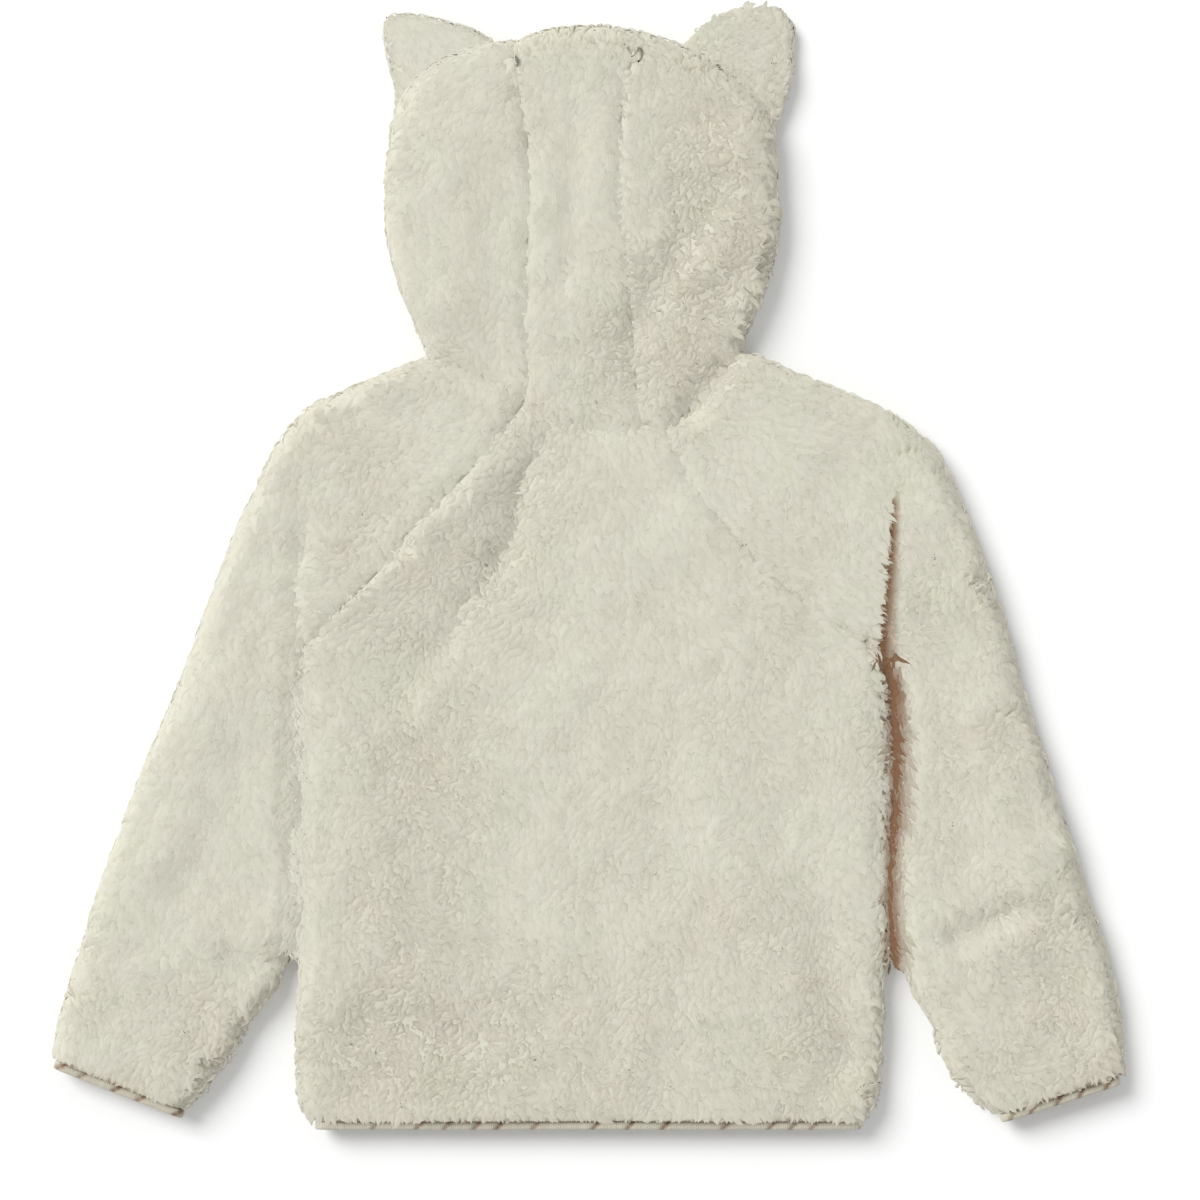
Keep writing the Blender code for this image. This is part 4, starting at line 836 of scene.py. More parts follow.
def locksOn(cloth, kind, seed, reach=1.0):
    # a lock's path: root + normal x (rise(t) - drop(t)) + nap x run(t) + side x curl(t), where run and drop
    # are R sin(s / R) and R (1 - cos(s / R)) round the surface's own bend; its rings stand across it
    i, j, u, v, draw = lockRoots(cloth, kind, seed)

    def at(key):
        return blendAt(cloth[key], i, j, u, v)

    root = at("ground")
    count = len(root)
    normal, nap = unit(at("normal")), unit(at("nap"))
    curl, deep = at("curl"), at("deep")
    hollow = at("hollow")
    nap = unit(nap - normal * (nap * normal).sum(axis=1, keepdims=True))
    side = np.cross(normal, nap)
    swirl = 2 * noise(root[:, 0], root[:, 1], pile["swirl"], seed + 40) - 1
    swirl = 1.5 * swirl + 0.55 * (2 * draw.rand(count) - 1)
    shut = shutting(root[:, 0], root[:, 1])
    turned = np.radians(span(pile["swing"], curl)) * swirl + 1.3 * shut * (2 * v - 1)
    way = nap * np.cos(turned)[:, None] + side * np.sin(turned)[:, None]
    across = np.cross(normal, way)
    pressed = ease(-normal[:, 2] * 1.6 - 0.2)
    bridge, paintedShade = at("bridge"), at("paintedShade")
    length = span(kind["length"], draw.rand(count))
    length = length * (1 - 0.22 * curl) * reach * (1 - 0.25 * np.clip(hollow / 3, 0, 1))
    limit = np.ones(count)
    ways = (cloth["rowWay"], -cloth["rowWay"], cloth["columnWay"], -cloth["columnWay"])
    for number, (edge, gap) in enumerate(zip(cloth["edges"], cloth["gaps"])):
        towards = -blendAt(ways[number], i, j, u, v)
        speed = np.maximum((way * towards).sum(axis=1) * length * 0.9, 1e-3)
        over = pile["overhang"][edge] * (0.25 + 0.75 * draw.rand(count))
        room = blendAt(gap, i, j, u, v) + over + 5 * shut
        limit = np.minimum(limit, room / speed)
    # none reaches far over the slit from its left, and none from its right
    away, _, along = slitAt(root[:, 0], root[:, 1])
    room = np.where(away < 0, 2.2 * draw.rand(count) ** 2 - away - 0.2, away + 0.3)
    speed = np.maximum(np.where(away < 0, way[:, 0], -way[:, 0]) * length * 0.9, 1e-3)
    limit = np.minimum(limit, np.where((along > 0.1) & (normal[:, 2] > 0), room / speed, 9.0))
    length = length * np.clip(limit, 0.12, 1)
    rise = deep * (kind["rise"] + kind["spread"] * (0.25 + 1.4 * curl) * (2 * draw.rand(count) - 1))
    # 1 where the cloth turns under at the silhouette, where locks lie lower and are shorter
    under = ease((normal[:, 2] + 1) / 0.15) * ease((0.15 - normal[:, 2]) / 0.3)
    under = under * (1 - np.clip(2 * bridge, 0, 1))
    rise = rise * (0.55 + 0.45 * np.clip(limit * 1.6, 0, 1)) * (1 + 0.9 * bridge) * (1 - 0.72 * under)
    length = length * (1 - 0.5 * under)
    width = span(kind["width"], draw.rand(count))
    width = width * (1 - 0.6 * along * (normal[:, 2] > 0) * np.exp(-(((away + 0.5) / 3.5) ** 2)))
    width = width * (1.1 - 0.32 * curl) * (0.7 + 0.3 * np.clip(limit, 0, 1)) * (1 + 0.25 * pressed)
    sway = kind["sway"] * (0.4 + 1.5 * curl) * (0.5 + draw.rand(count)) * np.clip(limit, 0.2, 1)
    sway = sway * (1 - 0.5 * pressed)
    phase, turns = draw.rand(count), 0.45 + 0.55 * curl * draw.rand(count) + 0.15
    bend = (way * at("rowWay")).sum(axis=1) ** 2 * at("rowBend")
    bend = bend + (way * at("columnWay")).sum(axis=1) ** 2 * at("columnBend")
    path = []
    for t in lockRings:
        turned = np.clip(length * t**1.15 * bend, -0.5, 1.5)
        ahead = length * t**1.15 * np.sinc(turned / np.pi)
        drop = length * t**1.15 * np.sinc(turned / 2 / np.pi) * np.sin(turned / 2)
        curled = sway * (np.sin(2 * np.pi * (turns * t + phase)) - np.sin(2 * np.pi * phase)) * t**0.5
        lift = rise * np.sin(0.88 * np.pi * t**0.85) - 0.9 * (1 - t) * (1 - 0.6 * pressed)
        path.append(root + normal * (lift - drop)[:, None] + way * ahead[:, None] + across * curled[:, None])
    path = np.stack(path, axis=1)
    tangent = unit(np.gradient(path, axis=1))
    sideways = unit(across[:, None] - tangent * (tangent * across[:, None]).sum(axis=-1, keepdims=True))
    above = np.cross(tangent, sideways)
    above = above * np.sign((above[:, 2:3] * normal[:, None]).sum(axis=-1, keepdims=True) + 1e-6)
    rings, faced = [], []
    tall = (kind["flatten"] * (0.5 + 0.9 * curl))[:, None, None]
    for k, wide in enumerate(lockProfile):
        half = (width * wide / 2)[:, None, None]
        angle = np.radians(90 + 120 * np.arange(lockSides))[None, :, None]
        ring = path[:, k, None] + half * (
            np.cos(angle) * sideways[:, k, None] + tall * np.sin(angle) * above[:, k, None])
        rings.append(ring)
        faced.append(np.cos(angle) * sideways[:, k, None] + 0.7 * np.sin(angle) * above[:, k, None])
    points = np.concatenate([*rings, path[:, -1:]], axis=1)
    points[..., 2] = np.maximum(points[..., 2], pile["clear"])
    each = points.shape[1]
    own = unit(np.concatenate([*faced, above[:, -1:]], axis=1))
    own = unit(own + np.array([0, 0, 0.5]) * ease(normal[:, 2] + 1.2)[:, None, None])
    light = unit(at("light"))[:, None]
    soft = (span(pile["softness"], curl) * ease((light[:, 0, 2] - 0.1) / 0.6))[:, None, None]
    # painted shade: brown down the slit's right side, by where each point lies
    inSlit = slitShade(points[..., 0], points[..., 1]) * ((away > -0.3) & (normal[:, 2] > 0.2))[:, None]
    # painted shade: above the armpit the slit alone is brown, below it what faces the sleeve
    rooted = (paintedShade * (1 - along * ease((root[:, 1] + 50) / 8)))[:, None]
    return {
        "points": points, "height": np.clip(lockHeight(points, root, normal, deep, curl), 0, 1),
        "tone": np.broadcast_to(draw.rand(count)[:, None], (count, each)),
        "paintedShade": np.maximum(np.clip(inSlit, 0, 1), rooted),
        "curled": np.broadcast_to(curl[:, None], (count, each)),
        "light": unit(own * (1 - soft) + light * soft),
    }


def lockHeight(points, root, normal, deep, curl):
    # how far up the pile each point lies, 0 at the ground, and less spread where it is combed, so its
    # painted shade is weaker there
    up = ((points - root[:, None]) * normal[:, None]).sum(axis=-1) / (1.15 * deep[:, None])
    return 0.6 + (up - 0.6) * (0.55 + 0.9 * curl[:, None])


def together(*parts):  # locks of several kinds as one set, shuffled back into their order over the cloth
    joined = {key: np.concatenate([part[key] for part in parts]) for key in parts[0]}
    places = np.concatenate([np.linspace(0, 1, len(part["points"])) for part in parts])
    order = np.argsort(places, kind="stable")
    return {key: values[order] for key, values in joined.items()}


lockFaces, lockUvs = lockTemplate()


def pilePiece(name, locks, material, start=0, end=None):
    points = locks["points"][start:end]
    count, each = points.shape[:2]
    faces = lockFaces[None] + (np.arange(count) * each)[:, None, None]
    uv = np.broadcast_to(lockUvs[None], (count, *lockUvs.shape)).copy()
    uv[..., 0] += (np.arange(count) % 97)[:, None, None] * 1.37  # so that no two neighbours match
    flipped = insideOut(points, lockFaces)
    faces[flipped] = faces[flipped][..., ::-1]
    uv[flipped] = uv[flipped][:, :, ::-1]
    faceSets = [(faces.reshape(-1, 3), 0, uv.reshape(-1, 3, 2))]
    piece = meshOf(name, points.reshape(-1, 3), faceSets, [material])
    for key in ("height", "tone", "paintedShade", "curled"):
        setAttribute(piece, key, locks[key][start:end])
    piece.data.normals_split_custom_set_from_vertices(locks["light"][start:end].reshape(-1, 3).tolist())
    piece.visible_shadow = piece.visible_diffuse = False  # the cloth under it casts the shadow
    return piece


def insideOut(points, faces):  # which of the locks have their faces pointing inwards
    a, b, c = (points[:, faces[:, k]] - points[:, :1] for k in range(3))
    return (a * np.cross(b, c)).sum(axis=(1, 2)) < 0


# ---- finishes

finish = {
    # the pile is drawn darker towards its roots: painted shade among the locks
    "pileRoot": (0.525, 0.507, 0.408),
    "pileMiddle": (0.640, 0.622, 0.528),
    "pileTip": (0.678, 0.664, 0.576),
    # the ground is drawn darker than the pile: painted shade beneath it
    "ground": (0.56, 0.545, 0.448),
    "curlShade": (0.89, 0.865, 0.85),  # painted shade among the curls: how much darker and warmer the curliest pile is drawn
    "paintedDepthShade": (0.215, 0.12, 0.066),  # painted shade: the brown the pile is drawn with down in the deepest gaps
    "backing": (0.74, 0.705, 0.60),
    "binding": (0.58, 0.545, 0.445),
    "tape": (0.74, 0.69, 0.57),
    "teeth": (0.76, 0.72, 0.61),
    "metal": (0.74, 0.70, 0.60),
}


class Nodes:  # a short way to add nodes to a material and join them
    def __init__(self, name, roughness, sheen=0.0, metallic=0.0):
        self.material = bpy.data.materials.new(name)
        self.material.use_nodes = True
        self.tree = self.material.node_tree
        self.shader = self.tree.nodes["Principled BSDF"]
        self.shader.inputs["Roughness"].default_value = roughness
        self.shader.inputs["Metallic"].default_value = metallic
        self.shader.inputs["Specular IOR Level"].default_value = 0.18 if metallic == 0 else 0.5
        if sheen:
            self.shader.inputs["Sheen Weight"].default_value = sheen
            self.shader.inputs["Sheen Roughness"].default_value = 0.5
            self.shader.inputs["Sheen Tint"].default_value = (1.0, 0.97, 0.9, 1.0)

    def add(self, kind, settings=None, **inputs):
        node = self.tree.nodes.new(kind)
        for key, value in (settings or {}).items():
            setattr(node, key, value)
        for key, value in inputs.items():
            socket = node.inputs[int(key[1:])] if key[0] == "i" and key[1:].isdigit() else node.inputs[key]
            if isinstance(value, bpy.types.NodeSocket):
                self.tree.links.new(value, socket)
            else:
                socket.default_value = value
        return node

    def own(self, name):  # the piece's own attribute
        return self.add("ShaderNodeAttribute", {"attribute_name": name}).outputs["Fac"]

    def place(self, stretch=(1.0, 1.0, 1.0), kind="Object"):
        source = self.add("ShaderNodeTexCoord").outputs[kind]
        return self.add("ShaderNodeMapping", Vector=source, Scale=stretch).outputs["Vector"]

    def noise(self, vector, scale, detail=2.0, roughness=0.5, distortion=0.0):
        node = self.add("ShaderNodeTexNoise", Vector=vector, Scale=scale, Detail=detail, Roughness=roughness)
        node.inputs["Distortion"].default_value = distortion
        return node.outputs["Fac"]

    def ramp(self, factor, *stops):
        node = self.add("ShaderNodeValToRGB", Fac=factor)
        while len(node.color_ramp.elements) < len(stops):
            node.color_ramp.elements.new(0.5)
        for element, (at, colour) in zip(node.color_ramp.elements, stops):
            element.position = at
            element.color = (*colour, 1.0)
        return node.outputs["Color"]

    def mix(self, factor, a, b, blend="MIX"):
        node = self.add("ShaderNodeMix", {"data_type": "RGBA", "blend_type": blend}, i0=factor)
        for number, value in ((6, a), (7, b)):
            if isinstance(value, bpy.types.NodeSocket):
                self.tree.links.new(value, node.inputs[number])
            else:
                node.inputs[number].default_value = (*value, 1.0)
        return node.outputs[2]

    def math(self, operation, a, b=0.5, c=0.5):
        return self.add("ShaderNodeMath", {"operation": operation}, i0=a, i1=b, i2=c).outputs[0]

    def bump(self, height, distance, strength):
        node = self.add("ShaderNodeBump", Height=height, Distance=distance, Strength=strength)
        return node.outputs["Normal"]

    def wave(self, value, pitch):  # sin(2 pi value / pitch)
        return self.math("SINE", self.math("MULTIPLY", value, 2 * math.pi / pitch))

    def done(self, colour, normal):
        self.tree.links.new(colour, self.shader.inputs["Base Color"])
        self.tree.links.new(normal, self.shader.inputs["Normal"])
        return self.material


def darker(colour, share):  # each part of the colour x share
    return tuple(share * part for part in colour)


def drift(nodes, colour):  # broad soft patches, a little pinker and a little greener
    wide = nodes.noise(nodes.place(), 26.0, 3.0, 0.6)
    tint = nodes.ramp(wide, (0.32, (0.985, 1.0, 0.97)), (0.5, (1.0, 1.0, 1.0)), (0.68, (1.0, 0.984, 0.965)))
    return nodes.mix(1.0, colour, tint, "MULTIPLY")


def pileLook():  # root, middle and tip colours by height, darker low down as painted shade, then tone, curl's painted shade, brown painted shade in the depths and fine strands
    nodes = Nodes("sherpaPile", 0.92)
    nodes.shader.inputs["Specular IOR Level"].default_value = 0.0
    height = nodes.own("height")
    tone = nodes.own("tone")
    colour = nodes.ramp(
        height, (0.0, finish["pileRoot"]), (0.42, finish["pileMiddle"]), (0.95, finish["pileTip"]))
    shade = nodes.ramp(tone, (0.0, (0.93, 0.93, 0.92)), (0.6, (1.0, 1.0, 1.0)), (1.0, (1.0, 0.995, 0.985)))
    colour = nodes.mix(1.0, drift(nodes, colour), shade, "MULTIPLY")
    curled = nodes.own("curled")
    colour = nodes.mix(
        1.0, colour, nodes.ramp(curled, (0.25, (1.0, 1.0, 1.0)), (0.95, finish["curlShade"])), "MULTIPLY")
    paintedShade = nodes.own("paintedShade")
    colour = nodes.mix(paintedShade, colour, finish["paintedDepthShade"])
    strands = nodes.noise(nodes.place((16.0, 1.6, 1.0), "UV"), 1.0, 2.0, 0.55, 0.4)
    fine = nodes.noise(nodes.place(), 1900.0, 1.0, 0.5)
    colour = nodes.mix(
        1.0, colour, nodes.ramp(strands, (0.3, (0.93, 0.925, 0.91)), (0.7, (1.0, 1.0, 1.0))), "MULTIPLY")
    together = nodes.math("MULTIPLY_ADD", fine, 0.35, strands)
    return nodes.done(colour, nodes.bump(together, 0.0004, 0.5))


def groundLook():  # the ground under the pile, darker than it as painted shade: small curls in two creams, the darker in their hollows as painted shade, and brown painted shade in the depths
    nodes = Nodes("sherpaGround", 0.97, sheen=0.1)
    curls = nodes.noise(nodes.place(), 330.0, 3.0, 0.6, 0.8)
    paintedShade = nodes.own("paintedShade")
    colour = nodes.mix(curls, finish["ground"], finish["pileMiddle"])
    colour = nodes.mix(paintedShade, drift(nodes, colour), finish["paintedDepthShade"])
    return nodes.done(colour, nodes.bump(curls, 0.0010, 0.6))


def backingLook():
    # knit backing: rows of small V stitches from two sets of slanting waves on the cloth's own lie
    nodes = Nodes("knitBacking", 0.9, sheen=0.1)
    lie = nodes.place(kind="UV")
    split = nodes.add("ShaderNodeSeparateXYZ", Vector=lie)
    column = nodes.math("PINGPONG", split.outputs["X"], 0.6)
    slant = nodes.math("MULTIPLY_ADD", column, 1.4, split.outputs["Y"])
    rib = nodes.wave(split.outputs["X"], 1.2)
    height = nodes.math("MULTIPLY_ADD", rib, 0.6, nodes.wave(slant, 1.1))
    level = nodes.math("MULTIPLY_ADD", height, 0.3, 0.5)
    # painted shade: the stitches drawn darker where they lie lower
    colour = nodes.ramp(level, (0.1, darker(finish["backing"], 0.84)), (0.8, finish["backing"]))
    return nodes.done(drift(nodes, colour), nodes.bump(level, 0.0003, 0.8))


def bindingLook():
    # ribbed elastic: fine ribs across the strip, with uneven gathers
    nodes = Nodes("bindingRib", 0.72, sheen=0.25)
    lie = nodes.place(kind="UV")
    split = nodes.add("ShaderNodeSeparateXYZ", Vector=lie)
    rib = nodes.wave(split.outputs["Y"], 1.05)
    gather = nodes.noise(nodes.place((0.05, 0.42, 1.0), "UV"), 1.0, 2.0, 0.5)
    knit = nodes.noise(nodes.place(), 1500.0, 2.0, 0.6)
    height = nodes.math("MULTIPLY_ADD", rib, 0.22, nodes.math("MULTIPLY_ADD", knit, 0.35, gather))
    # painted shade: ribs, gathers and knit drawn darker where they lie lower
    colour = nodes.ramp(height, (0.25, darker(finish["binding"], 0.82)), (0.85, finish["binding"]))
    # painted shadow in the pinches
    paintedShade = nodes.own("paintedShade")
    colour = nodes.mix(paintedShade, drift(nodes, colour), finish["paintedDepthShade"])
    return nodes.done(colour, nodes.bump(height, 0.0005, 0.8))


def tapeLook():
    # woven tape: herringbone from a zigzag of x added to y
    nodes = Nodes("wovenTape", 0.85, sheen=0.1)
    split = nodes.add("ShaderNodeSeparateXYZ", Vector=nodes.place((1000.0, 1000.0, 1000.0)))
    zig = nodes.math("PINGPONG", split.outputs["X"], 1.3)
    twill = nodes.wave(nodes.math("ADD", zig, split.outputs["Y"]), 0.8)
    level = nodes.math("MULTIPLY_ADD", twill, 0.25, nodes.noise(nodes.place(), 900.0, 2.0, 0.5))
    # painted shade: the twill drawn darker where it lies lower
    colour = nodes.ramp(level, (0.2, darker(finish["tape"], 0.85)), (0.8, finish["tape"]))
    return nodes.done(colour, nodes.bump(level, 0.0002, 0.8))


def mouldedLook(name, colour, roughness, grain, bump):
    # painted metal or moulded plastic: a faint mottle and handling marks in the roughness
    nodes = Nodes(name, roughness)
    nodes.shader.inputs["Specular IOR Level"].default_value = 0.5
    mottle = nodes.noise(nodes.place(), grain, 3.0, 0.6)
    tinted = nodes.ramp(mottle, (0.3, darker(colour, 0.93)), (0.7, colour))
    rub = nodes.noise(nodes.place(), grain * 0.35, 2.0, 0.5)
    rough = nodes.add("ShaderNodeMapRange", Value=rub)
    rough.inputs["To Min"].default_value = roughness - 0.1
    rough.inputs["To Max"].default_value = roughness + 0.12
    nodes.tree.links.new(rough.outputs["Result"], nodes.shader.inputs["Roughness"])
    return nodes.done(tinted, nodes.bump(mottle, bump, 0.5))


looks = {
    "pile": pileLook(), "ground": groundLook(), "backing": backingLook(), "binding": bindingLook(),
    "tape": tapeLook(), "teeth": mouldedLook("mouldedTeeth", finish["teeth"], 0.42, 700.0, 0.00006),
    "metal": mouldedLook("paintedMetal", finish["metal"], 0.38, 420.0, 0.00003),
}
print("finishes are made")

# ---- the panels, each a wall of cloth with its pile

# name: the grids, the kinds of its first row, last row, first column and last column, what it lies on
panelTable = {"back": (backPanel(), ("mouth", "seam", "seam", "seam"), ["front_left", "front_right"])}
# each side: its tables' ending, its way from the zip, where raglan and hood seam meet the neck, its end
sides = (("Left", -1, atLeft, atLeft, 0.0), ("Right", 1, atRight, atRightSeam, 1.0))
for side, way, *_ in sides:
    tables = (cut[table + side] for table in ("body", "underRaglan", "frontNeck"))
    panelTable[f"front_{side.lower()}"] = (frontPanel(way, *tables), ("mouth", "seam", "seam", "zip"), [])
for side, _, raglanAt, _, end in sides:
    tables = (cut[table + side] for table in ("armInner", "armOuter", "shoulder", "raglan", "underRaglan"))
    grids = sleevePanel(*tables, raglanAt, end, cut["frontNeck" + side])
    panelTable[f"sleeve_{side.lower()}"] = (grids, ("mouth", "seam", "seam", "seam"), [])
for side, _, _, seamAt, end in sides:
    tables = (cut[table + side] for table in ("hoodSeam", "hoodEdge", "faceEdge"))
    grids = hoodSidePanel(*tables, seamAt, end, cut["frontNeck" + side])
    panelTable[f"hood_side_{side.lower()}"] = (grids, ("neck", "seam", "seam", "bound"), [])
panelTable["hood_centre"] = (hoodCentrePanel(), ("seam", "seam", "neck", "bound"), [])


def ride(piece, nodes=(), on=body):  # a piece's body, and the nodes it stands for
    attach(piece, on)
    if nodes:
        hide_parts(*nodes)


mostLocks = 8800  # in one piece, so that it stays under 200,000 triangles
for number, (name, ((outer, inner), edges, restsOn)) in enumerate(panelTable.items()):
    cloth = clothFrom(outer, inner, edges, napDown=1 if name == "hood_centre" else 0)
    wall = wallPiece(f"{name}_cloth", cloth, [looks["ground"], looks["backing"]])
    # painted shade on the ground's outside, none on the backing
    paintedShade = cloth["paintedShade"].ravel()
    setAttribute(wall, "paintedShade", np.concatenate([paintedShade, 0 * paintedShade]))
    ride(wall, [name])
    locks = together(locksOn(cloth, tuft, 100 + number), locksOn(cloth, wisp, 300 + number))
    count = len(locks["points"])
    parts = int(np.ceil(count / mostLocks))
    bounds = np.linspace(0, count, parts + 1).astype(int)
    for k in range(parts):
        piece = pilePiece(f"{name}_pile_{k + 1}", locks, looks["pile"], bounds[k], bounds[k + 1])
        ride(piece)

# ---- ears

ears = {
    "ear_left": {
        "edge": cut["hoodEdgeLeft"], "base": (0.565, 0.965), "tip": (-115, 321.5), "thick": 18.0,
        "near": [(-113.5, 282), (-118, 299), (-120, 314)], "far": [(-64, 309.5), (-81, 316), (-101, 321.5)],
    },
    "ear_right": {
        "edge": cut["hoodEdgeRight"], "base": (0.555, 0.895), "tip": (110, 325), "thick": 17.0,
        "near": [(115.5, 282), (117.5, 299), (118.5, 313)], "far": [(64, 311.5), (77, 320), (95, 325.5)],
    },
}
earRows, earRound = 22, 40


def earGrids(edge, base, near, far, tip, thick):
    # sections from the hood's edge to the tip; height = middle + half x (1 - v^6)^1/2 x |sin a|^1/2
    root = curve(edge, np.linspace(*base, 9))
    outward = unit(np.array(tip) - root.mean(axis=0))
    root = root - outward * 4.0
    steps = np.linspace(0, 1, earRows + 1)
    nearLine = curve([tuple(root[0]), *near, tip], steps)
    farLine = curve([tuple(root[-1]), *far, tip], steps)
    bow = root - root[0] - np.linspace(0, 1, 9)[:, None] * (root[-1] - root[0])
    angle = np.linspace(0, 2 * np.pi, earRound + 1)
    across = (1 - np.cos(angle)) / 2
    bowed = np.stack([np.interp(across, np.linspace(0, 1, 9), bow[:, n]) for n in (0, 1)], axis=1)
    plan = nearLine[:, None] + across[:, None] * (farLine - nearLine)[:, None]
    plan = plan + np.clip(1 - steps * 1.2, 0, 1)[:, None, None] * bowed
    middle = thick / 2 * (1 - 0.4 * steps)[:, None]
    rise = np.sign(np.sin(angle)) * np.abs(np.sin(angle)) ** 0.5
    z = middle * (1 + np.sqrt(np.clip(1 - steps**6, 0, 1))[:, None] * rise)
    outer = np.dstack([plan, z])
    core = np.broadcast_to(outer[:, :-1].mean(axis=1, keepdims=True), outer.shape)
    return outer, core


for number, (name, ear) in enumerate(ears.items()):
    outer, core = earGrids(**ear)
    half = np.linalg.norm(outer - core, axis=-1)
    thick = np.minimum(half, ear["thick"] * 0.5)
    cloth = clothFrom(outer[:-1], core[:-1], ("open", "open", "open", "open"), thick=thick[:-1])
    cloth["nap"] = -cloth["nap"]
    cloth["light"] = unit(cloth["light"] + np.array([0, 0, 0.9]) * ease(cloth["normal"][..., 2:] * 2))
    ground = cloth["ground"][:, :-1]
    index = np.arange(ground.shape[0] * earRound).reshape(-1, earRound)
    wrapped = np.concatenate([index, index[:, :1]], axis=1)
    tipNumber, rootNumber = index.size, index.size + 1
    tipPoint = ground[-1].mean(axis=0) + (outer[-1, 0] - ground[-1].mean(axis=0)) * 0.4
    points = np.concatenate([ground.reshape(-1, 3), [tipPoint, ground[0].mean(axis=0)]])
    last, first = wrapped[-1], wrapped[0]
    faceSets = [
        (quadsOf(wrapped), 0, None),
        (np.stack([last[:-1], last[1:], np.full(earRound, tipNumber)], axis=1), 0, None),
        (np.stack([first[1:], first[:-1], np.full(earRound, rootNumber)], axis=1), 0, None),
    ]
    wall = meshOf(f"{name}_cloth", points, outwards(points, faceSets), [looks["ground"]])
    ride(wall, [name])
    locks = together(locksOn(cloth, tuft, 200 + number, 0.8), locksOn(cloth, wisp, 400 + number, 0.9))
    piece = pilePiece(f"{name}_pile", locks, looks["pile"])
    ride(piece)

# ---- bindings: a rounded strip carried round each mouth, with gathers

binding = {
    "width": 5.2, "wall": 4.5, "inset": 3.0, "seamGap": 0.3, "faceZ": 3.8, "step": 0.8, "sides": 14,
    "gather": 0.30, "gatherLength": 3.4, "round": 0.62,
    "cut": 10.5,  # the strip's cut width, folded in half over the edge
    "pinch": (12.0, 40.0),  # least and greatest way from one pinch to the next
    "pinchWidth": 1.5, "pinchDepth": 0.55, "pinchSlant": 0.8, "clear": 0.15,
}


def loopLine(left, right, loopStart, loopEnd, ways):
    # along the lower layer, round the left fold, over the top, round the right fold and back
    radius = binding["wall"] / 2 + foldHollow
    across = np.linalg.norm(right - left)
    inset = (binding["wall"] + foldHollow) / across
    bend = np.linspace(0, np.pi, 15)[1:-1]
    flat = lambda a, b: np.linspace(a, b, max(3, int(abs(b - a) * across / binding["step"])))
    parts = [
        (flat(loopStart, inset), -1.0, 0.0),
        (inset, -np.cos(bend), -np.sin(bend)),
        (flat(inset, 1 - inset), 1.0, 0.0),
        (1 - inset, np.cos(bend), np.sin(bend)),
        (flat(1 - inset, loopEnd), -1.0, 0.0),
    ]
    share, level, out = (
        np.concatenate(column) for column in zip(*(np.broadcast_arrays(*part) for part in parts)))
    along = (right - left) / across
    line = left + (share + out * radius / across)[:, None] * (right - left) + ways * binding["width"] / 2
    centre = np.column_stack([line, foldRadius + level * radius])
    outward = unit(np.column_stack([along[None] * out[:, None], level]))
    return centre, outward, np.broadcast_to([*ways, 0.0], centre.shape)


def stripPiece(name, centre, outward, wide, seed):
    # a rounded section, |cos|^n and |sin|^n, carried along the line; gathers vary its thickness, and
    # pinches of depth exp(-(distance / width)^2) cross it on a slant at uneven places
    run = np.concatenate([[0], np.cumsum(np.linalg.norm(np.diff(centre, axis=0), axis=1))])
    pucker = noise(run, run * 0, binding["gatherLength"], seed) - 0.5
    slow = noise(run, run * 0, 21.0, seed + 1) - 0.5
    angle = np.linspace(0, 2 * np.pi, binding["sides"], endpoint=False)
    bulge = binding["round"]
    c = np.sign(np.cos(angle)) * np.abs(np.cos(angle)) ** bulge
    s = np.sign(np.sin(angle)) * np.abs(np.sin(angle)) ** bulge
    halfWide = binding["width"] / 2 * (0.97 + 0.10 * slow)[:, None]
    halfThick = binding["wall"] / 2 * (0.93 + binding["gather"] * pucker * 0.5)[:, None]
    draw = np.random.RandomState(seed)
    ats = np.cumsum(span(binding["pinch"], draw.rand(int(run[-1] / binding["pinch"][0])) ** 1.6))
    ats, deeps = ats[ats < run[-1]], 0.6 + 0.4 * draw.rand(int((ats < run[-1]).sum()))
    place = run[:, None] + binding["pinchSlant"] * halfWide * c
    pinched = (deeps * np.exp(-(((place[..., None] - ats) / binding["pinchWidth"]) ** 2))).sum(axis=-1)
    halfThick = halfThick * (1 - binding["pinchDepth"] * pinched)
    rings = (
        centre[:, None]
        + wide[:, None] * (halfWide * c)[..., None]
        + outward[:, None] * (halfThick * s)[..., None])
    rings[..., 2] = np.maximum(rings[..., 2], binding["clear"])
    rows, sides = rings.shape[:2]
    index = np.arange(rows * sides).reshape(rows, sides)
    wrapped = np.concatenate([index, index[:, :1]], axis=1)
    around = 2 * (binding["width"] + binding["wall"])
    uv = gridUv(rows, sides + 1, run[:, None], np.linspace(0, around, sides + 1)[None])
    points = np.concatenate([rings.reshape(-1, 3), [centre[0], centre[-1]]])
    start, end = np.full(sides, rows * sides), np.full(sides, rows * sides + 1)
    faceSets = [
        (quadsOf(wrapped), 0, uv),
        (np.stack([wrapped[0, 1:], wrapped[0, :-1], start], axis=1), 0, None),
        (np.stack([wrapped[-1, :-1], wrapped[-1, 1:], end], axis=1), 0, None),
    ]
    piece = meshOf(f"{name}_strip", points, outwards(points, faceSets), [looks["binding"]])
    # painted shadow down in the pinches
    setAttribute(piece, "paintedShade", np.concatenate([np.clip(pinched * (1.15 - 0.2 * c), 0, 1).ravel(), [0, 0]]))
    ride(piece, [name])
    print(f"{name}: {run[-1]:.0f} mm round")


def mouthBinding(name, left, right, loopStart, loopEnd, seed):
    # the strip round a hem or cuff, set off from the cloth's edge by the seam's gap
    left, right = np.array(left, float), np.array(right, float)
    along = (right - left) / np.linalg.norm(right - left)
    ways = np.array([along[1], -along[0]])
    left, right = left + along * binding["inset"], right - along * binding["inset"]
    left, right = left + ways * binding["seamGap"], right + ways * binding["seamGap"]
    return stripPiece(name, *loopLine(left, right, loopStart, loopEnd, ways), seed)


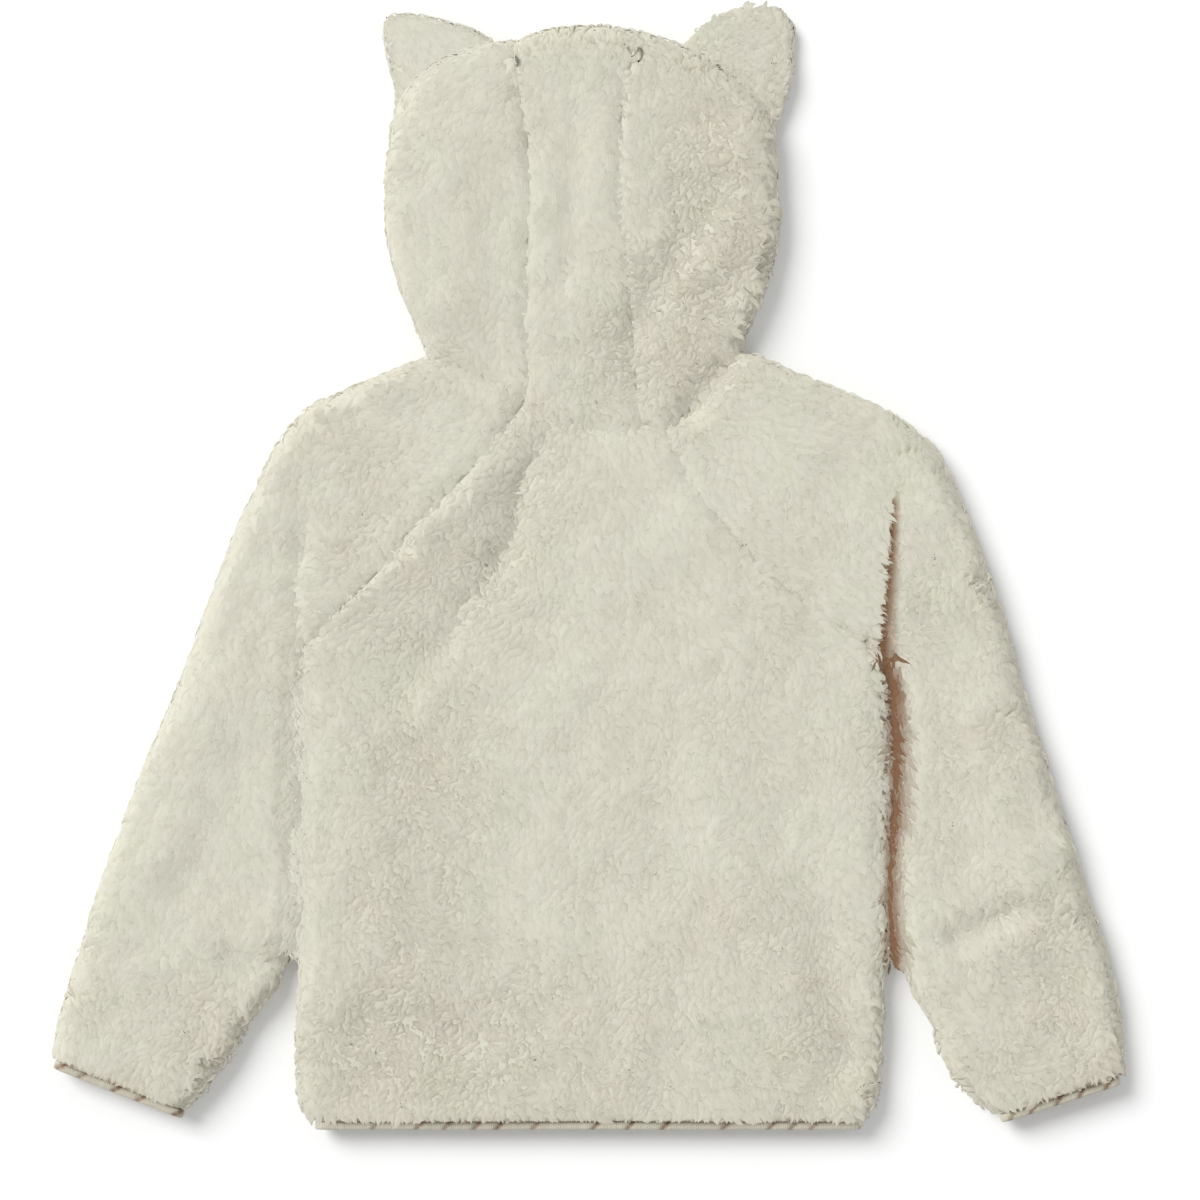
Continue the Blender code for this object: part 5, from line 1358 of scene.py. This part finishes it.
def faceBinding():  # the strip round the face opening, open at the chin
    steps = np.linspace(0, 1, 90)
    sides = []
    for face in (cut["faceEdgeLeft"], cut["faceEdgeRight"]):
        chin, forehead = shareAt(face, face[2]), shareAt(face, face[-2])
        sides.append(curve(face, chin + steps * (forehead - chin)))
    line = np.concatenate([sides[0], sides[1][::-1]])
    ways = unit(np.gradient(line, axis=0))[:, ::-1] * (1, -1)
    centre = line + ways * (2 * binding["seamGap"] + binding["width"] / 2)
    centre = np.column_stack([centre, np.full(len(line), binding["faceZ"] + binding["wall"] / 2)])
    outward = np.broadcast_to([0.0, 0.0, 1.0], centre.shape)
    stripPiece("hood_binding", centre, outward, np.column_stack([ways, np.zeros(len(line))]), 67)


mouthBinding("hem_binding", cut["bodyLeft"][0], cut["bodyRight"][0], 0.485, 0.515, 61)
mouthBinding("cuff_binding_left", cut["armOuterLeft"][0], cut["armInnerLeft"][0], 0.88, 0.895, 63)
mouthBinding("cuff_binding_right", cut["armInnerRight"][0], cut["armOuterRight"][0], 0.105, 0.12, 65)
faceBinding()

# ---- the zip

zipper = {
    "pitch": 1.6, "toothAlong": 0.74, "reach": 3.0, "head": 0.75, "thick": 2.3, "from": -317.7, "to": 66.5,
    "chainZ": 6.45, "round": 0.22,
}


def toothRows():
    # each tooth is a block drawn in to a narrower head, with its long edges rounded off
    count = int((zipper["to"] - zipper["from"] - zipper["pitch"]) / zipper["pitch"])
    reach, head, half, tall = zipper["reach"], zipper["head"], zipper["toothAlong"] / 2, zipper["thick"] / 2
    soft = zipper["round"]
    section = np.array([
        (-half, -tall + soft), (-half + soft, -tall), (half - soft, -tall), (half, -tall + soft),
        (half, tall - soft), (half - soft, tall), (-half + soft, tall), (-half, tall - soft)])
    stations = [  # how far from the zip's line, how long and how tall the tooth is there
        (reach, 1.0, 0.62), (reach - 0.3, 1.0, 1.0), (0.5, 0.82, 1.0), (-0.35, 1.0, 0.95), (-head, 0.8, 0.6)]
    rings = np.array([[(x, y * wide, z * high) for y, z in section] for x, wide, high in stations])
    tooth = rings.reshape(-1, 3)
    sides = len(section)
    index = np.arange(len(tooth)).reshape(-1, sides)
    walls = quadsOf(np.concatenate([index, index[:, :1]], axis=1))
    caps = np.stack([index[0], index[-1][::-1]])
    points, quads, ends = [], [], []
    for side, shift in ((-1, 0.0), (1, zipper["pitch"] / 2)):
        y = zipper["from"] + zipper["pitch"] * (0.5 + np.arange(count)) + shift
        row = np.broadcast_to(tooth, (count, *tooth.shape)).copy()
        row[..., 0] *= side
        row[..., 1] += y[:, None]
        row[..., 2] += zipper["chainZ"]
        shiftBy = (np.arange(count) * len(tooth))[:, None, None] + sum(len(p) for p in points)
        turned = slice(None, None, -1) if side < 0 else slice(None)
        quads.append((walls[:, turned][None] + shiftBy).reshape(-1, 4))
        ends.append((caps[:, turned][None] + shiftBy).reshape(-1, sides))
        points.append(row.reshape(-1, 3))
    points = np.concatenate(points)
    faceSets = [(np.concatenate(quads), 0, None), (np.concatenate(ends), 0, None)]
    return points, outwards(points, faceSets), 2 * count


def addTeeth():  # both rows as one mesh
    points, faceSets, count = toothRows()
    teeth = meshOf("zip_teeth", points, faceSets, [looks["teeth"]], smooth=False)
    ride(teeth, ["zip_chain"])
    print(f"zip chain of {count} teeth")


def softened(name, newName, look, width, on=body):
    # a copy of a hard piece with its corners rounded off
    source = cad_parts[name]
    data = source.data.copy()
    data.name = newName
    piece = bpy.data.objects.new(newName, data)
    bpy.context.scene.collection.objects.link(piece)
    data.materials.clear()
    data.materials.append(look)
    weld = piece.modifiers.new("weld", "WELD")
    weld.merge_threshold = 0.00001
    flat = piece.modifiers.new("plane", "DECIMATE")
    flat.decimate_type = "DISSOLVE"
    flat.angle_limit = math.radians(1)
    bevel = piece.modifiers.new("soft", "BEVEL")
    bevel.width = width * mm
    bevel.segments = 2
    bevel.limit_method = "ANGLE"
    bevel.angle_limit = math.radians(40)
    ride(piece, [name], on)


def addTapes():
    # each tape is a woven strip with a corded edge: its thickness swells at both edges
    for name, side in (("zip_tape_left", -1), ("zip_tape_right", 1)):
        low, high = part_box(name)
        x0, x1 = sorted((abs(low[0]), abs(high[0])))
        across = np.linspace(0, 1, 15)
        y = np.linspace(low[1], high[1], 260) * 1000
        middle = (low[2] + high[2]) / 2 * 1000
        half = (high[2] - low[2]) / 2 * 1000
        cords = np.exp(-((1 - across) / 0.08) ** 2) + np.exp(-(across / 0.1) ** 2)
        swell = half * (0.72 + 0.28 * cords)
        x = side * (x0 + across * (x1 - x0)) * 1000
        ripple = 0.10 * np.sin(y / 9.0)[:, None] * across[None]
        flatX, flatY = np.broadcast_arrays(x[None], y[:, None])
        outer = np.dstack([flatX, flatY, middle + swell[None] * 0.9 + ripple * half])
        inner = np.dstack([flatX, flatY, middle - swell[None] * 0.9 + ripple * half])
        cloth = {"ground": outer, "inner": inner}
        piece = wallPiece(f"{name}_strip", cloth, [looks["tape"], looks["tape"]])
        ride(piece, [name])


addTeeth()
addTapes()
softened("zip_box", "zip_box_soft", looks["metal"], 0.35)
softened("zip_slider", "zip_slider_soft", looks["metal"], 0.22)
softened("zip_pull", "zip_pull_soft", looks["metal"], 0.22, on="pull_tab")
print("zip, slider and pull are in place")
